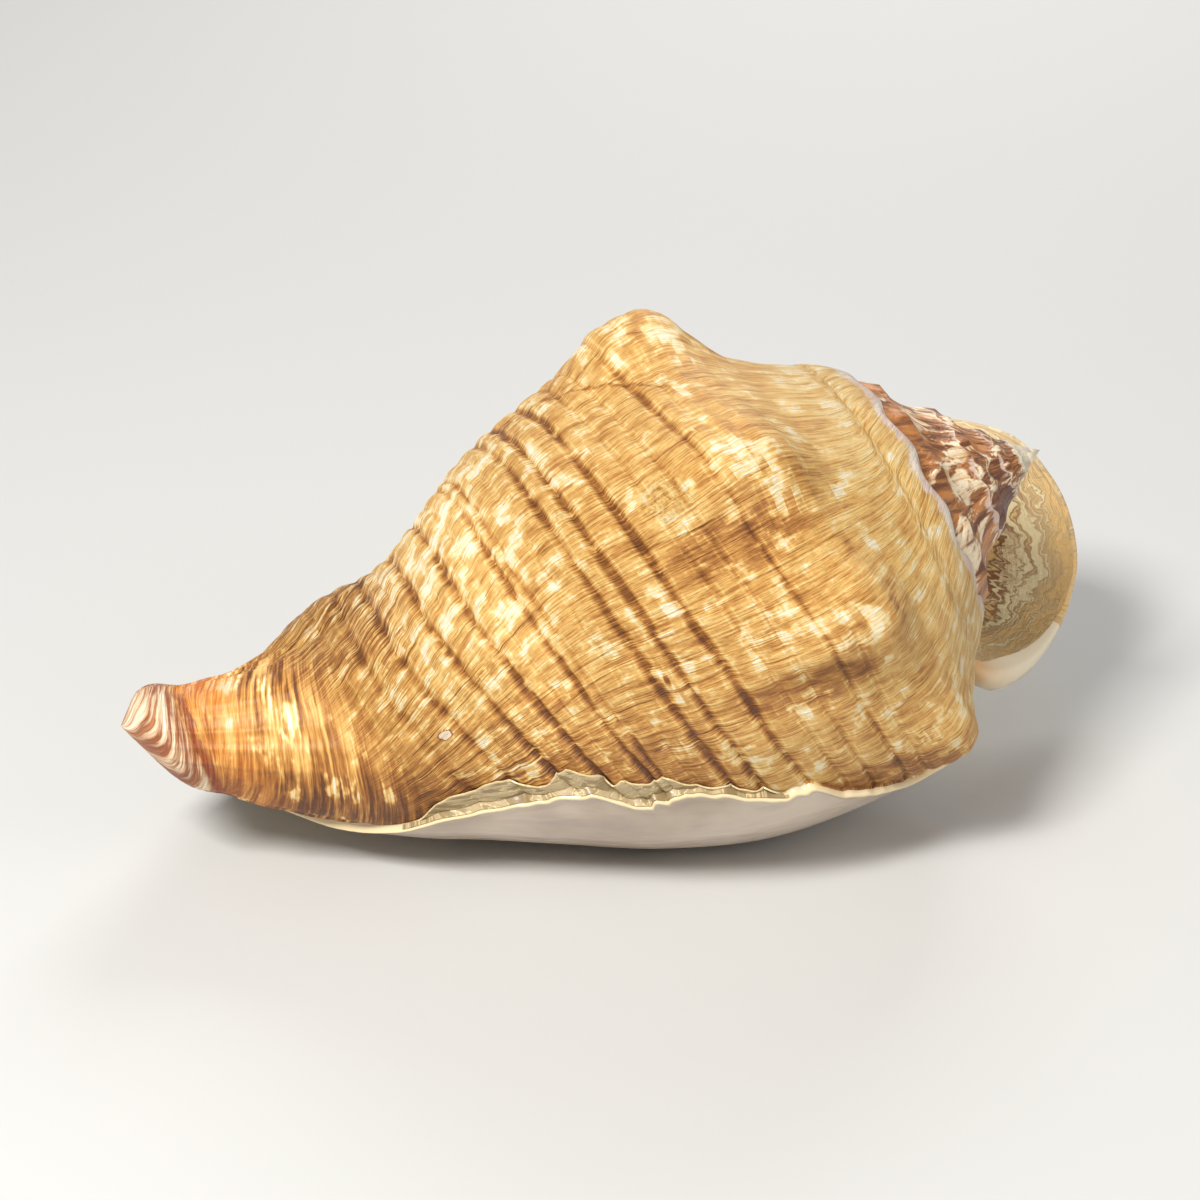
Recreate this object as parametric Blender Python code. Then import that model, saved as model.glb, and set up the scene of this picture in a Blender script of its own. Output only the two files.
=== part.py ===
"""Goliath conch shell, one solid, lying on its mouth with the apex towards +X.

All lengths in this file are millimetres until the last step, which writes metres.
The skin is a grid: columns turn round the shell's axis with growth, rows run from
the suture to the tip of the canal. The same grid folds over the lip, lines the
hollow and comes back along the columella, so the whole shell is one closed skin.
"""
import bpy
import numpy as np

# Lie of the shell
TILT = 18.0
APEX_Z = 117.0
FLOOR_CUT = 7.6
MIDDLE_X = -126.63
MIDDLE_Y = 28.91

# Columns, degrees of growth
START = -10.0
LIP = 350.0
STEP = 8.0
WING_FROM = 200.0
HOLLOW_FROM = 38.0
TURNS = 4.5

# Rows, share of the way from suture to canal tip
SUTURE_SHARE = 0.045
CORNER_SHARE = 0.085
STRIP_ROWS = 4
RAMP_ROWS = (0.115, 0.145, 0.175, 0.205)
BODY_ROWS = (0.24, 0.29, 0.325, 0.36, 0.40, 0.4375, 0.47, 0.503, 0.545, 0.59,
             0.623, 0.656, 0.68, 0.703, 0.727, 0.75, 0.78)
TIP_ROWS = (0.83, 0.88, 0.93, 0.97)
GROOVES = (0.29, 0.36, 0.4375, 0.503, 0.59, 0.656, 0.703, 0.75)
GROOVE_DEPTH = 1.5

# Spire
SPIRE_GROWTH = 1.71
SPIRE_FLARE = 1.16
SPIRE_KNOBS = 12.8
SUTURE_DEG = (-10, 28, 75, 118, 154, 180, 208, 290, 350, 388, 435, 478, 514, 570)
SUTURE_RADIUS = (33.6, 37, 41, 44, 45.5, 44.5, 43, 45, 47, 50, 52, 53, 53, 52)
SUTURE_X = (-36.3, -38.5, -41.5, -44.5, -47, -48, -47.5, -46, -45, -46, -49, -53, -57, -59)
SUTURE_STEP = 1.6

# Last whorl: distance from the apex along the axis, and radius
SHARES = (0, 0.045, 0.11, 0.16, 0.205, 0.27, 0.36, 0.46, 0.56, 0.66, 0.76, 0.86, 0.94, 0.98, 1.0)
LOW_SIDE = ((-49, 59), (-54, 68), (-60, 73), (-75, 76), (-98, 77.5), (-127, 75), (-158, 65),
            (-187, 51), (-213, 38.5), (-243, 27), (-273, 18), (-287, 13), (-295, 0))
TOP_SIDE = ((-67, 55.5), (-86, 65), (-103, 74.5), (-118, 79), (-135, 77), (-153, 73), (-172, 65),
            (-191, 53), (-215, 38), (-243, 27), (-273, 18), (-287, 13), (-295, 0))
CANAL_BEND = 34.0
CANAL_BEND_FROM = -215.0
CANAL_BEND_TO = -297.0
CANAL_BEND_DEG = 195.0

# Shoulder knobs: degrees, share, height, half width in degrees
KNOBS = ((4, 0.205, 4, 15), (53, 0.205, 8, 14), (100, 0.236, 10, 14), (139, 0.24, 12, 14),
         (191, 0.232, 13.5, 13), (238, 0.22, 8, 15), (285, 0.205, 5, 15))

# Glaze of the mouth side: where it ends on the near side, and how thick it is
GLAZE = 2.2
GLAZE_SHARE = (0.0, 0.24, 0.29, 0.33, 0.40, 0.44, 0.46, 0.50, 0.52, 0.56, 0.60, 0.64, 0.68, 0.72,
               0.76, 0.80, 0.82, 0.84, 0.86, 0.90, 1.0)
GLAZE_DEG = (36, 36, 39, 47, 55, 62, 62, 65, 68, 72, 70, 69, 75, 74, 72, 66, 61, 50, 38, 24, 10)

# Lip: share, then X, Y, Z of the outer face's edge
LIP_EDGE = (
    (0.0, -27, 8, 59.5), (0.02, -19, 0, 47.5), (0.045, -6, 8, 42), (0.07, 9, 20, 38.5), (0.095, 22, 32, 39.5),
    (0.12, 31, 41, 45), (0.14, 34.5, 45, 54), (0.16, 34, 49, 66), (0.185, 30, 58, 80),
    (0.21, 20, 71, 92), (0.235, 1, 90, 93), (0.28, -22, 104, 78), (0.34, -52, 119, 52),
    (0.42, -85, 133, 26), (0.50, -120, 140, 14.5), (0.58, -155, 137, 12.5), (0.66, -188, 124, 14.5),
    (0.74, -214, 104, 19), (0.82, -238, 79, 27), (0.89, -256, 50, 34), (0.94, -270, 32, 38),
    (0.98, -284, 19, 45), (1.0, -291, 9, 56))
# Lip: share, then the way the sheet points as it ends
LIP_WAY = (
    (0.0, 0.2, -0.9, -0.4), (0.045, 0.6, -0.5, -0.5), (0.11, 0.95, 0.1, -0.25),
    (0.15, 0.95, 0.3, 0.0), (0.22, 0.55, 0.75, 0.1), (0.34, 0.15, 0.9, -0.3),
    (0.5, 0.0, 0.97, -0.15), (0.66, -0.2, 0.95, -0.2), (0.82, -0.35, 0.8, -0.5),
    (1.0, -0.3, 0.5, -0.5))
FAN_SHARE = 0.11
GUTTER_LIFT = 3.0
GUTTER_WIDE = 8.0
EAR_LIFT = 15.0
EAR_SHARE = 0.79
WALL = 4.0
LIP_WALL = 6.5
ROLL_WALL = 14.0

TILT_RAD = np.radians(TILT)
APEX = np.array([0.0, 0.0, APEX_Z])
AXIS = np.array([np.cos(TILT_RAD), 0.0, np.sin(TILT_RAD)])
DOWN = np.array([np.sin(TILT_RAD), 0.0, -np.cos(TILT_RAD)])
NEAR = np.array([0.0, -1.0, 0.0])


def ease(a, b, t):
    """Smooth step from 0 at a to 1 at b."""
    t = np.clip((np.asarray(t, float) - a) / (b - a), 0, 1)
    return t * t * (3 - 2 * t)


def hermite(u):
    """The four blending weights of a cubic piece."""
    return (2 * u**3 - 3 * u**2 + 1, 3 * u**2 - 2 * u**3, u**3 - 2 * u**2 + u, u**3 - u**2)


def curve(knots, values, t):
    """Smooth curve through values at the knots."""
    k = np.asarray(knots, float)
    p = np.asarray(values, float)
    t = np.asarray(t, float)
    m = np.gradient(p, k, axis=0)
    i = np.clip(np.searchsorted(k, t, side="right") - 1, 0, len(k) - 2)
    h = k[i + 1] - k[i]
    u = (t - k[i]) / h
    if p.ndim > 1:
        u = u[..., None]
        h = h[..., None]
    a, b, c, d = hermite(u)
    return p[i] * a + p[i + 1] * b + m[i] * h * c + m[i + 1] * h * d


def place(x, radius, deg):
    """A point from its distance along the axis, its radius and its turn."""
    turn = np.radians(deg)
    out = np.cos(turn)[..., None] * DOWN + np.sin(turn)[..., None] * NEAR
    return APEX + x[..., None] * AXIS + radius[..., None] * out


def unit(a):
    """Vectors scaled to length one."""
    return a / np.maximum(np.linalg.norm(a, axis=-1, keepdims=True), 1e-9)


def spire_wave(deg):
    """Plus one on a spire knob, minus one between two."""
    return np.cos(np.radians((deg + 205.5) * SPIRE_KNOBS))


def suture(deg):
    """Distance along the axis and radius of the suture."""
    late = np.maximum(deg, START)
    radius = curve(SUTURE_DEG, SUTURE_RADIUS, late)
    x = curve(SUTURE_DEG, SUTURE_X, late)
    back = np.minimum(deg - START, 0) / 360
    size = SPIRE_GROWTH ** back
    wave = 1.6 * size * spire_wave(deg - 360) * (1 - ease(300, 350, deg)) * ease(-1500, -1100, deg)
    return x * size - 0.75 * wave, radius * size**SPIRE_FLARE + 0.6 * wave


def row_share(deg, row):
    """Rows bend with the spiral grooves, which sink towards the mouth side."""
    marks = (0, 0.2, 0.35, 0.45, 0.55, 0.66, 0.71, 0.76, 0.81, 0.87, 1.0)
    sizes = (0, 0, 0.3, 0.5, 0.6, 1.0, 1.1, 0.95, 0.5, 0, 0)
    early = np.clip((150 - deg) / 70, 0, 1.3) ** 1.4
    return row - 0.066 * np.interp(row, marks, sizes) * early


def side_mix(deg):
    """Nothing on the mouth side, one at the top of the shell, for shell and core."""
    core = 0.5 - 0.5 * np.cos(2 * np.pi * np.clip((-20 - deg) / 312, 0, 1))
    return np.where(deg > 28, (deg - 28) / 180, core)


def whorl_profile(deg, share):
    """Last whorl and core without relief: distance along the axis and radius."""
    f = side_mix(deg)
    sx, sr = suture(deg)
    qx, qr = suture(deg + 360)
    xs = [sx, qx]
    rs = [sr, qr]
    for at, low, top in zip(SHARES[2:], LOW_SIDE, TOP_SIDE):
        xs.append(low[0] + (top[0] - low[0]) * f)
        rs.append((low[1] + (top[1] - low[1]) * f) * narrowing(deg, at))
    p = np.stack([np.stack(xs, -1), np.stack(rs, -1)], -1)
    k = np.array(SHARES)
    m = np.gradient(p, k, axis=-2)
    i = np.clip(np.searchsorted(k, share, side="right") - 1, 0, len(k) - 2)
    h = (k[i + 1] - k[i])[..., None]
    u = (share - k[i])[..., None] / h
    a, b, c, d = hermite(u)
    j = i[..., None, None]
    p0 = np.take_along_axis(p, j, -2)[..., 0, :]
    p1 = np.take_along_axis(p, j + 1, -2)[..., 0, :]
    m0 = np.take_along_axis(m, j, -2)[..., 0, :]
    m1 = np.take_along_axis(m, j + 1, -2)[..., 0, :]
    q = p0 * a + p1 * b + m0 * h * c + m1 * h * d
    return q[..., 0], q[..., 1]


def narrowing(deg, share):
    """How much thinner the shell's core is, further back in the hollow."""
    t = np.clip(deg, -340, 60)
    marks = (-340, -190, -100, -50, -10, 28, 60)
    wide = curve(marks, (0.45, 0.60, 0.66, 0.80, 0.95, 1.0, 1.0), t)
    slim = curve(marks, (0.18, 0.36, 0.64, 0.82, 0.93, 1.0, 1.0), t)
    return wide + (slim - wide) * ease(0.15, 0.45, share)


def whorl(deg, row):
    """Surface of the last whorl and of the core inside the mouth, no relief."""
    deg, row = np.broadcast_arrays(np.asarray(deg, float), np.asarray(row, float))
    x, radius = whorl_profile(deg, row_share(deg, row))
    bent = np.clip((x - CANAL_BEND_FROM) / (CANAL_BEND_TO - CANAL_BEND_FROM), 0, 1.1) ** 1.8
    turn = np.radians(CANAL_BEND_DEG)
    way = np.cos(turn) * DOWN + np.sin(turn) * NEAR
    return place(x, radius, deg) + CANAL_BEND * bent[..., None] * way


def wing_sheet(deg, row):
    """Surface from the top of the shell out to the edge of the lip."""
    u = np.clip((deg - WING_FROM) / (LIP - WING_FROM), 0, 1)[..., None]
    top = np.full_like(deg, WING_FROM)
    edge = np.array(LIP_EDGE, float)
    way = np.array(LIP_WAY, float)
    start = whorl(top, row)
    leave = (whorl(top + 0.5, row) - whorl(top - 0.5, row)) * (LIP - WING_FROM)
    end = curve(edge[:, 0], edge[:, 1:], row)
    chord = np.linalg.norm(end - start, axis=-1, keepdims=True)
    span = np.maximum(np.linalg.norm(leave, axis=-1, keepdims=True), 1e-6)
    leave = leave * np.minimum(1, 1.25 * chord / span)
    arrive = unit(curve(way[:, 0], way[:, 1:], row)) * chord * 0.9
    a, b, c, d = hermite(u)
    p = start * a + end * b + leave * c + arrive * d
    ear = np.exp(-(((row - EAR_SHARE) / 0.085) ** 2)) * np.sin(np.pi * u[..., 0] ** 0.9) ** 1.5
    p[..., 2] += EAR_LIFT * ear
    wide = ease(0.05, 0.11, row) * (1 - ease(0.16, 0.30, row)) * np.sin(np.pi * u[..., 0]) ** 1.5
    turn = np.radians(deg)
    out = np.cos(turn)[..., None] * DOWN + np.sin(turn)[..., None] * NEAR
    return p + GUTTER_WIDE * wide[..., None] * out


def fan(deg, row):
    """The first rows of the wing, fanning out from the suture."""
    sx, sr = suture(deg)
    on_suture = place(sx, sr, deg)
    join = np.full_like(row, FAN_SHARE)
    ahead = wing_sheet(deg, join + 0.004)
    behind = wing_sheet(deg, join - 0.004)
    slope = (ahead - behind) * (FAN_SHARE / 0.008)
    across = wing_sheet(deg, join) - on_suture
    reach = np.linalg.norm(across, axis=-1, keepdims=True)
    steep = np.maximum(np.linalg.norm(slope, axis=-1, keepdims=True), 1e-6)
    slope = slope * np.minimum(1, 0.9 * reach / steep)
    t = np.clip(row / FAN_SHARE, 0, 1)[..., None]
    return on_suture + (2 * across - slope) * t + (slope - across) * t * t


def wing(deg, row):
    """The wing, from the suture and the top of the shell to the lip."""
    top = np.full_like(row, WING_FROM)
    lip = np.full_like(row, LIP)
    u = np.clip((deg - WING_FROM) / (LIP - WING_FROM), 0, 1)
    begin = (wing_sheet(top, row) - fan(top, row)) * (1 - ease(0, 0.5, u))[..., None]
    end = (wing_sheet(lip, row) - fan(lip, row)) * ease(0.5, 1, u)[..., None]
    t = np.clip(row / FAN_SHARE, 0, 1)
    turn = np.radians(deg + 12)
    out = np.cos(turn)[..., None] * DOWN + np.sin(turn)[..., None] * NEAR
    clear = GUTTER_LIFT * 4 * t * (1 - t) * ease(0.1, 0.4, u) * (1 - ease(0.75, 1, u))
    first = fan(deg, row) + begin + end + out * clear[..., None]
    return np.where((row < FAN_SHARE)[..., None], first, wing_sheet(deg, row))


def plain(deg, row):
    """Outer surface without relief."""
    deg, row = np.broadcast_arrays(np.asarray(deg, float), np.asarray(row, float))
    return np.where((deg > WING_FROM)[..., None], wing(deg, row), whorl(deg, row))


def facing(deg, row):
    """Outward directions of the outer surface."""
    deg = np.clip(deg, START + 0.5, LIP - 0.5)
    a = plain(deg + 0.4, row) - plain(deg - 0.4, row)
    b = plain(deg, np.clip(row + 0.003, 0, 1)) - plain(deg, np.clip(row - 0.003, 0, 1))
    return unit(np.cross(a, b))


def glaze_edge(row):
    """Growth angle at which the glaze of the mouth side ends."""
    return curve(GLAZE_SHARE, GLAZE_DEG, row)


def relief(deg, row):
    """Height of knobs, grooves and glaze over the plain surface."""
    high = np.zeros(np.broadcast(deg, row).shape)
    for at, share, height, half in KNOBS:
        wide = np.where(row > share, 0.085, 0.044)
        hump = np.exp(-(((deg - at) / half) ** 2) - ((row - share) / wide) ** 2)
        high = high + height * hump
    bare = ease(0, 1.5, deg - glaze_edge(row))
    cut = np.zeros_like(high)
    for g in GROOVES:
        cut = cut + np.exp(-(((row - g) / 0.011) ** 2))
    fade = 1 - 0.6 * ease(230, 330, deg)
    covered = ease(0.16, 0.24, row) * (1 - ease(0.86, 0.92, row))
    return high - GROOVE_DEPTH * cut * bare * fade + GLAZE * (1 - bare) * covered


def outer(deg, row):
    """Outer surface with its relief."""
    deg, row = np.broadcast_arrays(np.asarray(deg, float), np.asarray(row, float))
    free = ease(0.0, 0.05, row) * (1 - ease(0.95, 1.0, row))
    ledge = SUTURE_STEP * ease(0.0, 0.01, row) * (1 - ease(0.02, 0.07, row)) * (1 - ease(310, 345, deg))
    return plain(deg, row) + facing(deg, row) * (relief(deg, row) * free + ledge)[..., None]


def wall(deg, row):
    """Thickness of the wall."""
    flat = WALL + (LIP_WALL - WALL) * ease(250, 350, deg)
    at_roll = (1 - ease(0.03, 0.13, row)) * ease(335, 350, deg) * ease(0.015, 0.05, row)
    thin = 1 - 0.65 * ease(280, 340, deg) * (1 - ease(0.0, 0.05, row))
    thick = flat * thin + (ROLL_WALL - LIP_WALL) * at_roll
    return thick * (1 - 0.9 * ease(0.8, 1.0, row))


def spire(deg, w):
    """Exposed strip of the earlier whorls, from its suture to the next."""
    deg, w = np.broadcast_arrays(np.asarray(deg, float), np.asarray(w, float))
    x0, r0 = suture(deg)
    x1, r1 = suture(deg + 360)
    late = ease(-150, -20, deg)
    hump = np.exp(-(((w - 0.78) / 0.17) ** 2)) * np.sin(np.pi * np.clip(w, 0, 1)) ** 0.5
    knob = (0.5 + 0.5 * spire_wave(deg)) ** 1.5
    dip = np.sin(np.pi * np.clip(w / 0.7, 0, 1))
    push = (r1 - r0) * (1 - late) * (0.13 * hump * knob - 0.10 * dip) * ease(-1600, -1400, deg)
    span = np.hypot(r1 - r0, x1 - x0)
    x = x0 + (x1 - x0) * w + push * (r1 - r0) / span
    radius = r0 + (r1 - r0) * w - push * (x1 - x0) / span
    joined = whorl(deg, w * SUTURE_SHARE)
    mine = place(x, radius, deg)
    return mine + (joined - mine) * late[..., None]


def column_degrees():
    """Growth angles of the columns of the last whorl."""
    count = int(round((LIP - START) / STEP))
    return np.linspace(START, LIP, count + 1)


def row_shares():
    """Shares of the rows, without the tip."""
    strip = np.linspace(0, SUTURE_SHARE, STRIP_ROWS + 1)
    corner = np.linspace(SUTURE_SHARE, CORNER_SHARE, 4)[1:]
    return np.concatenate([strip, corner, RAMP_ROWS, BODY_ROWS, TIP_ROWS])


def follow_glaze(degs, rows):
    """Columns slide along each row so that two of them border the glaze."""
    last = int(np.argmin(np.abs(degs - WING_FROM)))
    pick = int(np.argmin(np.abs(degs - 62)))
    grid = np.repeat(degs[:, None], len(rows), 1)
    edge = glaze_edge(rows)
    for j, row in enumerate(rows):
        marks = (degs[0], degs[pick], degs[pick + 1], degs[last])
        spots = (degs[0], edge[j] - 0.3, edge[j] + 1.6, degs[last])
        moved = np.interp(degs[:last + 1], marks, spots)
        grid[:last + 1, j] += (moved - grid[:last + 1, j]) * ease(0.16, 0.24, row)
    return grid


class Skin:
    """Points and faces of the closed skin."""

    def __init__(self):
        self.points = []
        self.faces = []

    def add(self, point):
        """One more point; gives its number."""
        self.points.append(point)
        return len(self.points) - 1

    def strip(self, left, right, first, last):
        """Faces between two columns, dropping corners that coincide."""
        for j in range(first, last):
            ring = []
            for q in (left[j], right[j], right[j + 1], left[j + 1]):
                if q not in ring:
                    ring.append(q)
            if len(ring) > 2:
                self.faces.append(ring)


def add_grid(skin, points, table, cols, rows):
    """Points of a block of the grid, where the table has none yet."""
    for i in cols:
        for j in rows:
            if table[i, j] < 0:
                table[i, j] = skin.add(points[i, j])


def inner_sheet(grid, rows, outside, core, corner, first):
    """Inner face of the wall, meeting the core along the corner row."""
    normal = facing(grid, rows[None])
    inside = outside - normal * wall(grid, rows[None])[..., None]
    join = int(np.argmax(rows > 0.12))
    straight = (1 - ease(280, 340, grid[first:, 0]))[:, None]
    for j in range(1, join):
        f = (rows[j] / rows[join]) ** 0.8
        line = core[first:, corner] + (inside[first:, join] - core[first:, corner]) * f
        inside[first:, j] += (line - inside[first:, j]) * straight
    return inside, normal


def lip_round(rows, edge, normal):
    """Two columns that round the lip off."""
    near_lip = np.full(len(rows), LIP)
    way = unit(plain(near_lip, rows) - plain(near_lip - 1.0, rows))
    thick = wall(near_lip, rows)[:, None]
    out = []
    for turn in (np.pi / 3, 2 * np.pi / 3):
        down = normal * thick * (1 - np.cos(turn)) / 2
        out.append(edge - down + way * thick * 0.5 * np.sin(turn))
    return out


def hollow_end(skin, inner, core, deg, rows, corner, tables):
    """Two columns that close the back of the hollow."""
    side = np.full(len(rows), deg)
    back = unit(plain(side - 1.0, rows) - plain(side, rows))
    cols = []
    for f in (0.25, 0.75):
        col = [tables["core_corner"]]
        for j in range(1, len(rows)):
            far = core[max(j, corner)]
            gap = np.linalg.norm(far - inner[j])
            push = 0.25 * gap * ease(0.0, 0.15, rows[j])
            col.append(skin.add(inner[j] + (far - inner[j]) * f + back[j] * push))
        col.append(tables["tip"])
        cols.append(col)
    return cols


def add_spire(skin, degs, outside_ids, strip_rows):
    """The earlier whorls, welded to the last one along the sutures."""
    n = len(degs) - 1
    first = -int(TURNS * n)
    cols = np.arange(first, 1)
    turned = START + cols * ((LIP - START) / n)
    w = np.linspace(0, 1, strip_rows + 1)
    points = spire(turned[:, None], w[None])
    top = {c: int(outside_ids[c, 0]) for c in range(0, n + 1)}
    for a, c in enumerate(cols[:-1]):
        top[int(c)] = skin.add(points[a, 0])
    ids = {}
    for a, c in enumerate(cols):
        for k in range(1, strip_rows):
            ids[c, k] = int(outside_ids[0, k]) if c == 0 else skin.add(points[a, k])
        ids[c, 0] = top[int(c)]
        ids[c, strip_rows] = top[int(c) + n]
    for c in cols[:-1]:
        left = [ids[c, k] for k in range(strip_rows + 1)]
        right = [ids[c + 1, k] for k in range(strip_rows + 1)]
        skin.strip(left, right, 0, strip_rows)
    apex = skin.add(APEX.copy())
    for c in range(first, first + n):
        skin.faces.append([apex, top[c + 1], top[c]])
    for k in range(strip_rows):
        skin.faces.append([apex, ids[first, k], ids[first, k + 1]])


def shell_skin():
    """Every point and face of the shell."""
    skin = Skin()
    degs = column_degrees()
    rows = row_shares()
    n, last = len(degs) - 1, len(rows)
    s, corner = STRIP_ROWS, STRIP_ROWS + 3
    first = int(np.argmin(np.abs(degs - HOLLOW_FROM)))
    grid = follow_glaze(degs, rows)
    outside = outer(grid, rows[None])
    core = whorl(degs[:, None] - 360, rows[None])
    inside, normal = inner_sheet(degs[:, None] + 0 * rows[None], rows, plain(degs[:, None], rows[None]),
                                 core, corner, first)
    tip = skin.add(plain(np.array(100.0), np.array(1.0)))
    out_ids = -np.ones((n + 1, last + 1), int)
    out_ids[:, last] = tip
    add_grid(skin, outside, out_ids, [0], range(last))
    out_ids[n, 0] = out_ids[0, s]
    add_grid(skin, outside, out_ids, range(n + 1), range(last))
    core_ids = -np.ones((n + 1, last + 1), int)
    core_ids[:, last] = tip
    core_ids[n] = out_ids[0]
    add_grid(skin, core, core_ids, range(first, n), range(corner, last))
    in_ids = -np.ones((n + 1, last + 1), int)
    in_ids[:, last] = tip
    in_ids[:, 0] = core_ids[:, corner]
    add_grid(skin, inside, in_ids, range(first, n + 1), range(1, last))
    lips = []
    for k, col in enumerate(lip_round(rows, outside[n], normal[n])):
        ids = [int(out_ids[0, s + 1 + k])] + [skin.add(col[j]) for j in range(1, last)] + [tip]
        lips.append(ids)
    ends = hollow_end(skin, inside[first], core[first], degs[first], rows, corner,
                      {"core_corner": int(core_ids[first, corner]), "tip": tip})
    for i in range(n):
        skin.strip(out_ids[i], out_ids[i + 1], 0, last)
    skin.strip(out_ids[n], lips[0], 0, last)
    skin.strip(lips[0], lips[1], 0, last)
    skin.strip(lips[1], in_ids[n], 0, last)
    for i in range(n, first, -1):
        skin.strip(in_ids[i], in_ids[i - 1], 0, last)
    skin.strip(in_ids[first], ends[0], 0, last)
    skin.strip(ends[0], ends[1], 0, last)
    closing = core_ids[first].copy()
    closing[:corner] = core_ids[first, corner]
    skin.strip(ends[1], closing, 0, last)
    for i in range(first, n):
        skin.strip(core_ids[i], core_ids[i + 1], corner, last)
    add_spire(skin, degs, out_ids, STRIP_ROWS)
    return skin


def material():
    """Warm ochre of the shell."""
    mat = bpy.data.materials.new("shell")
    mat.use_nodes = True
    node = mat.node_tree.nodes["Principled BSDF"]
    node.inputs["Base Color"].default_value = (0.62, 0.38, 0.15, 1.0)
    node.inputs["Roughness"].default_value = 0.5
    return mat


def build():
    """The shell as one object named shell."""
    skin = shell_skin()
    points = np.array(skin.points)
    points[:, 2] = np.maximum(points[:, 2] - FLOOR_CUT, 0.0)
    points[:, :2] -= (MIDDLE_X, MIDDLE_Y)
    mesh = bpy.data.meshes.new("shell")
    mesh.from_pydata((points * 0.001).tolist(), [], [[int(q) for q in f] for f in skin.faces])
    mesh.update()
    obj = bpy.data.objects.new("shell", mesh)
    bpy.context.scene.collection.objects.link(obj)
    obj.data.materials.append(material())
    return obj


for old in list(bpy.data.objects):
    bpy.data.objects.remove(old, do_unlink=True)
build()
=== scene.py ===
"""A goliath conch shell lying on its mouth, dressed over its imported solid.

Lengths in the shell's own sections are millimetres; its mesh is written in metres.
"""
import bpy
import numpy as np
from mathutils import Matrix


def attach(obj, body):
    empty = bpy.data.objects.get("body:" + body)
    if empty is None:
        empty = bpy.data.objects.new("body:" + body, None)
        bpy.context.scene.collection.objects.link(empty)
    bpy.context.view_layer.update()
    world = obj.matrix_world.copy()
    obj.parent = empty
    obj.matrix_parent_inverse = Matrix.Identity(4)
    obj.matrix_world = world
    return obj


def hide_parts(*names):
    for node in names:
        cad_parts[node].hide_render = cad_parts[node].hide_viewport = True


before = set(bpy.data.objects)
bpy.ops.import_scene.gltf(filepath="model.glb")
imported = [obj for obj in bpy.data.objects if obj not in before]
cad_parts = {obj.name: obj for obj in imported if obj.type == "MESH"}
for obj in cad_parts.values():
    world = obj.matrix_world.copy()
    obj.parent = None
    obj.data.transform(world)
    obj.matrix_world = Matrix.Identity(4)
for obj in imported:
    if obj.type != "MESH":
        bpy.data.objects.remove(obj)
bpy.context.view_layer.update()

# The camera.
# A long lens from the shell's near side, a little above it and left of the middle,
# looking down by twenty-five degrees.
CAMERA_PLACE = (-0.26346, -0.92099, 0.50714)
CAMERA_TURN = -15.5
CAMERA_RISE = 25.0
CAMERA_LENS, SENSOR_WIDTH = 100.0, 36.0


def stood(right, above, back, place):
    """An object's matrix from its three directions and its place."""
    pose = np.eye(4)
    pose[:3, 0], pose[:3, 1], pose[:3, 2], pose[:3, 3] = right, above, back, place
    return Matrix(pose.tolist())


camera_data = bpy.data.cameras.new("camera")
camera_data.lens = CAMERA_LENS
camera_data.sensor_width = SENSOR_WIDTH
camera = bpy.data.objects.new("camera", camera_data)
bpy.context.scene.collection.objects.link(camera)
turn, rise = np.radians(CAMERA_TURN), np.radians(CAMERA_RISE)
back = np.array([np.sin(turn) * np.cos(rise), -np.cos(turn) * np.cos(rise), np.sin(rise)])
right = np.array([np.cos(turn), np.sin(turn), 0.0])
camera.matrix_world = stood(right, np.cross(back, right), back, CAMERA_PLACE)
bpy.context.scene.camera = camera
bpy.context.scene.view_settings.view_transform = "Standard"

# The shell's skin.
# Aragonite grown in one piece round a slanting axis. A grid of columns that turn with
# growth and rows from the suture to the canal tip folds over the lip and lines the mouth.
TILT = np.radians(18.0)
APEX_Z = 117.0
FLOOR_CUT = 7.6
MIDDLE = (-126.63, 28.91)
APEX = np.array([0.0, 0.0, APEX_Z])
AXIS = np.array([np.cos(TILT), 0.0, np.sin(TILT)])
DOWN = np.array([np.sin(TILT), 0.0, -np.cos(TILT)])
NEAR = np.array([0.0, -1.0, 0.0])

START, LIP, WING_FROM, HOLLOW_FROM, TURNS = -10.0, 350.0, 200.0, 38.0, 4.5
SUTURE_SHARE, CORNER_SHARE, FAN_SHARE = 0.045, 0.085, 0.11
SPIRE_GROWTH, SPIRE_FLARE, SPIRE_KNOBS = 1.71, 1.16, 12.8
SUTURE_DEG = (-10, 28, 75, 118, 154, 180, 208, 290, 350, 388, 435, 478, 514, 570)
SUTURE_RADIUS = (33.6, 37, 41, 44, 45.5, 44.5, 43, 45, 47, 50, 52, 53, 53, 52)
SUTURE_X = (-36.3, -38.5, -41.5, -44.5, -47, -48, -47.5, -46, -45, -46, -49, -53, -57, -59)

SHARES = (0, 0.045, 0.11, 0.16, 0.205, 0.27, 0.36, 0.46, 0.56, 0.66, 0.76, 0.86, 0.94, 0.98, 1.0)
LOW_SIDE = ((-49, 59), (-54, 68), (-60, 73), (-75, 76), (-98, 77.5), (-127, 75), (-158, 65),
            (-187, 51), (-213, 38.5), (-243, 27), (-273, 18), (-287, 13), (-295, 0))
TOP_SIDE = ((-67, 55.5), (-86, 65), (-103, 74.5), (-118, 79), (-135, 77), (-153, 73), (-172, 65),
            (-191, 53), (-215, 38), (-243, 27), (-273, 18), (-287, 13), (-295, 0))
CANAL_BEND, CANAL_BEND_FROM, CANAL_BEND_TO, CANAL_BEND_DEG = 34.0, -215.0, -297.0, 195.0

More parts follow.
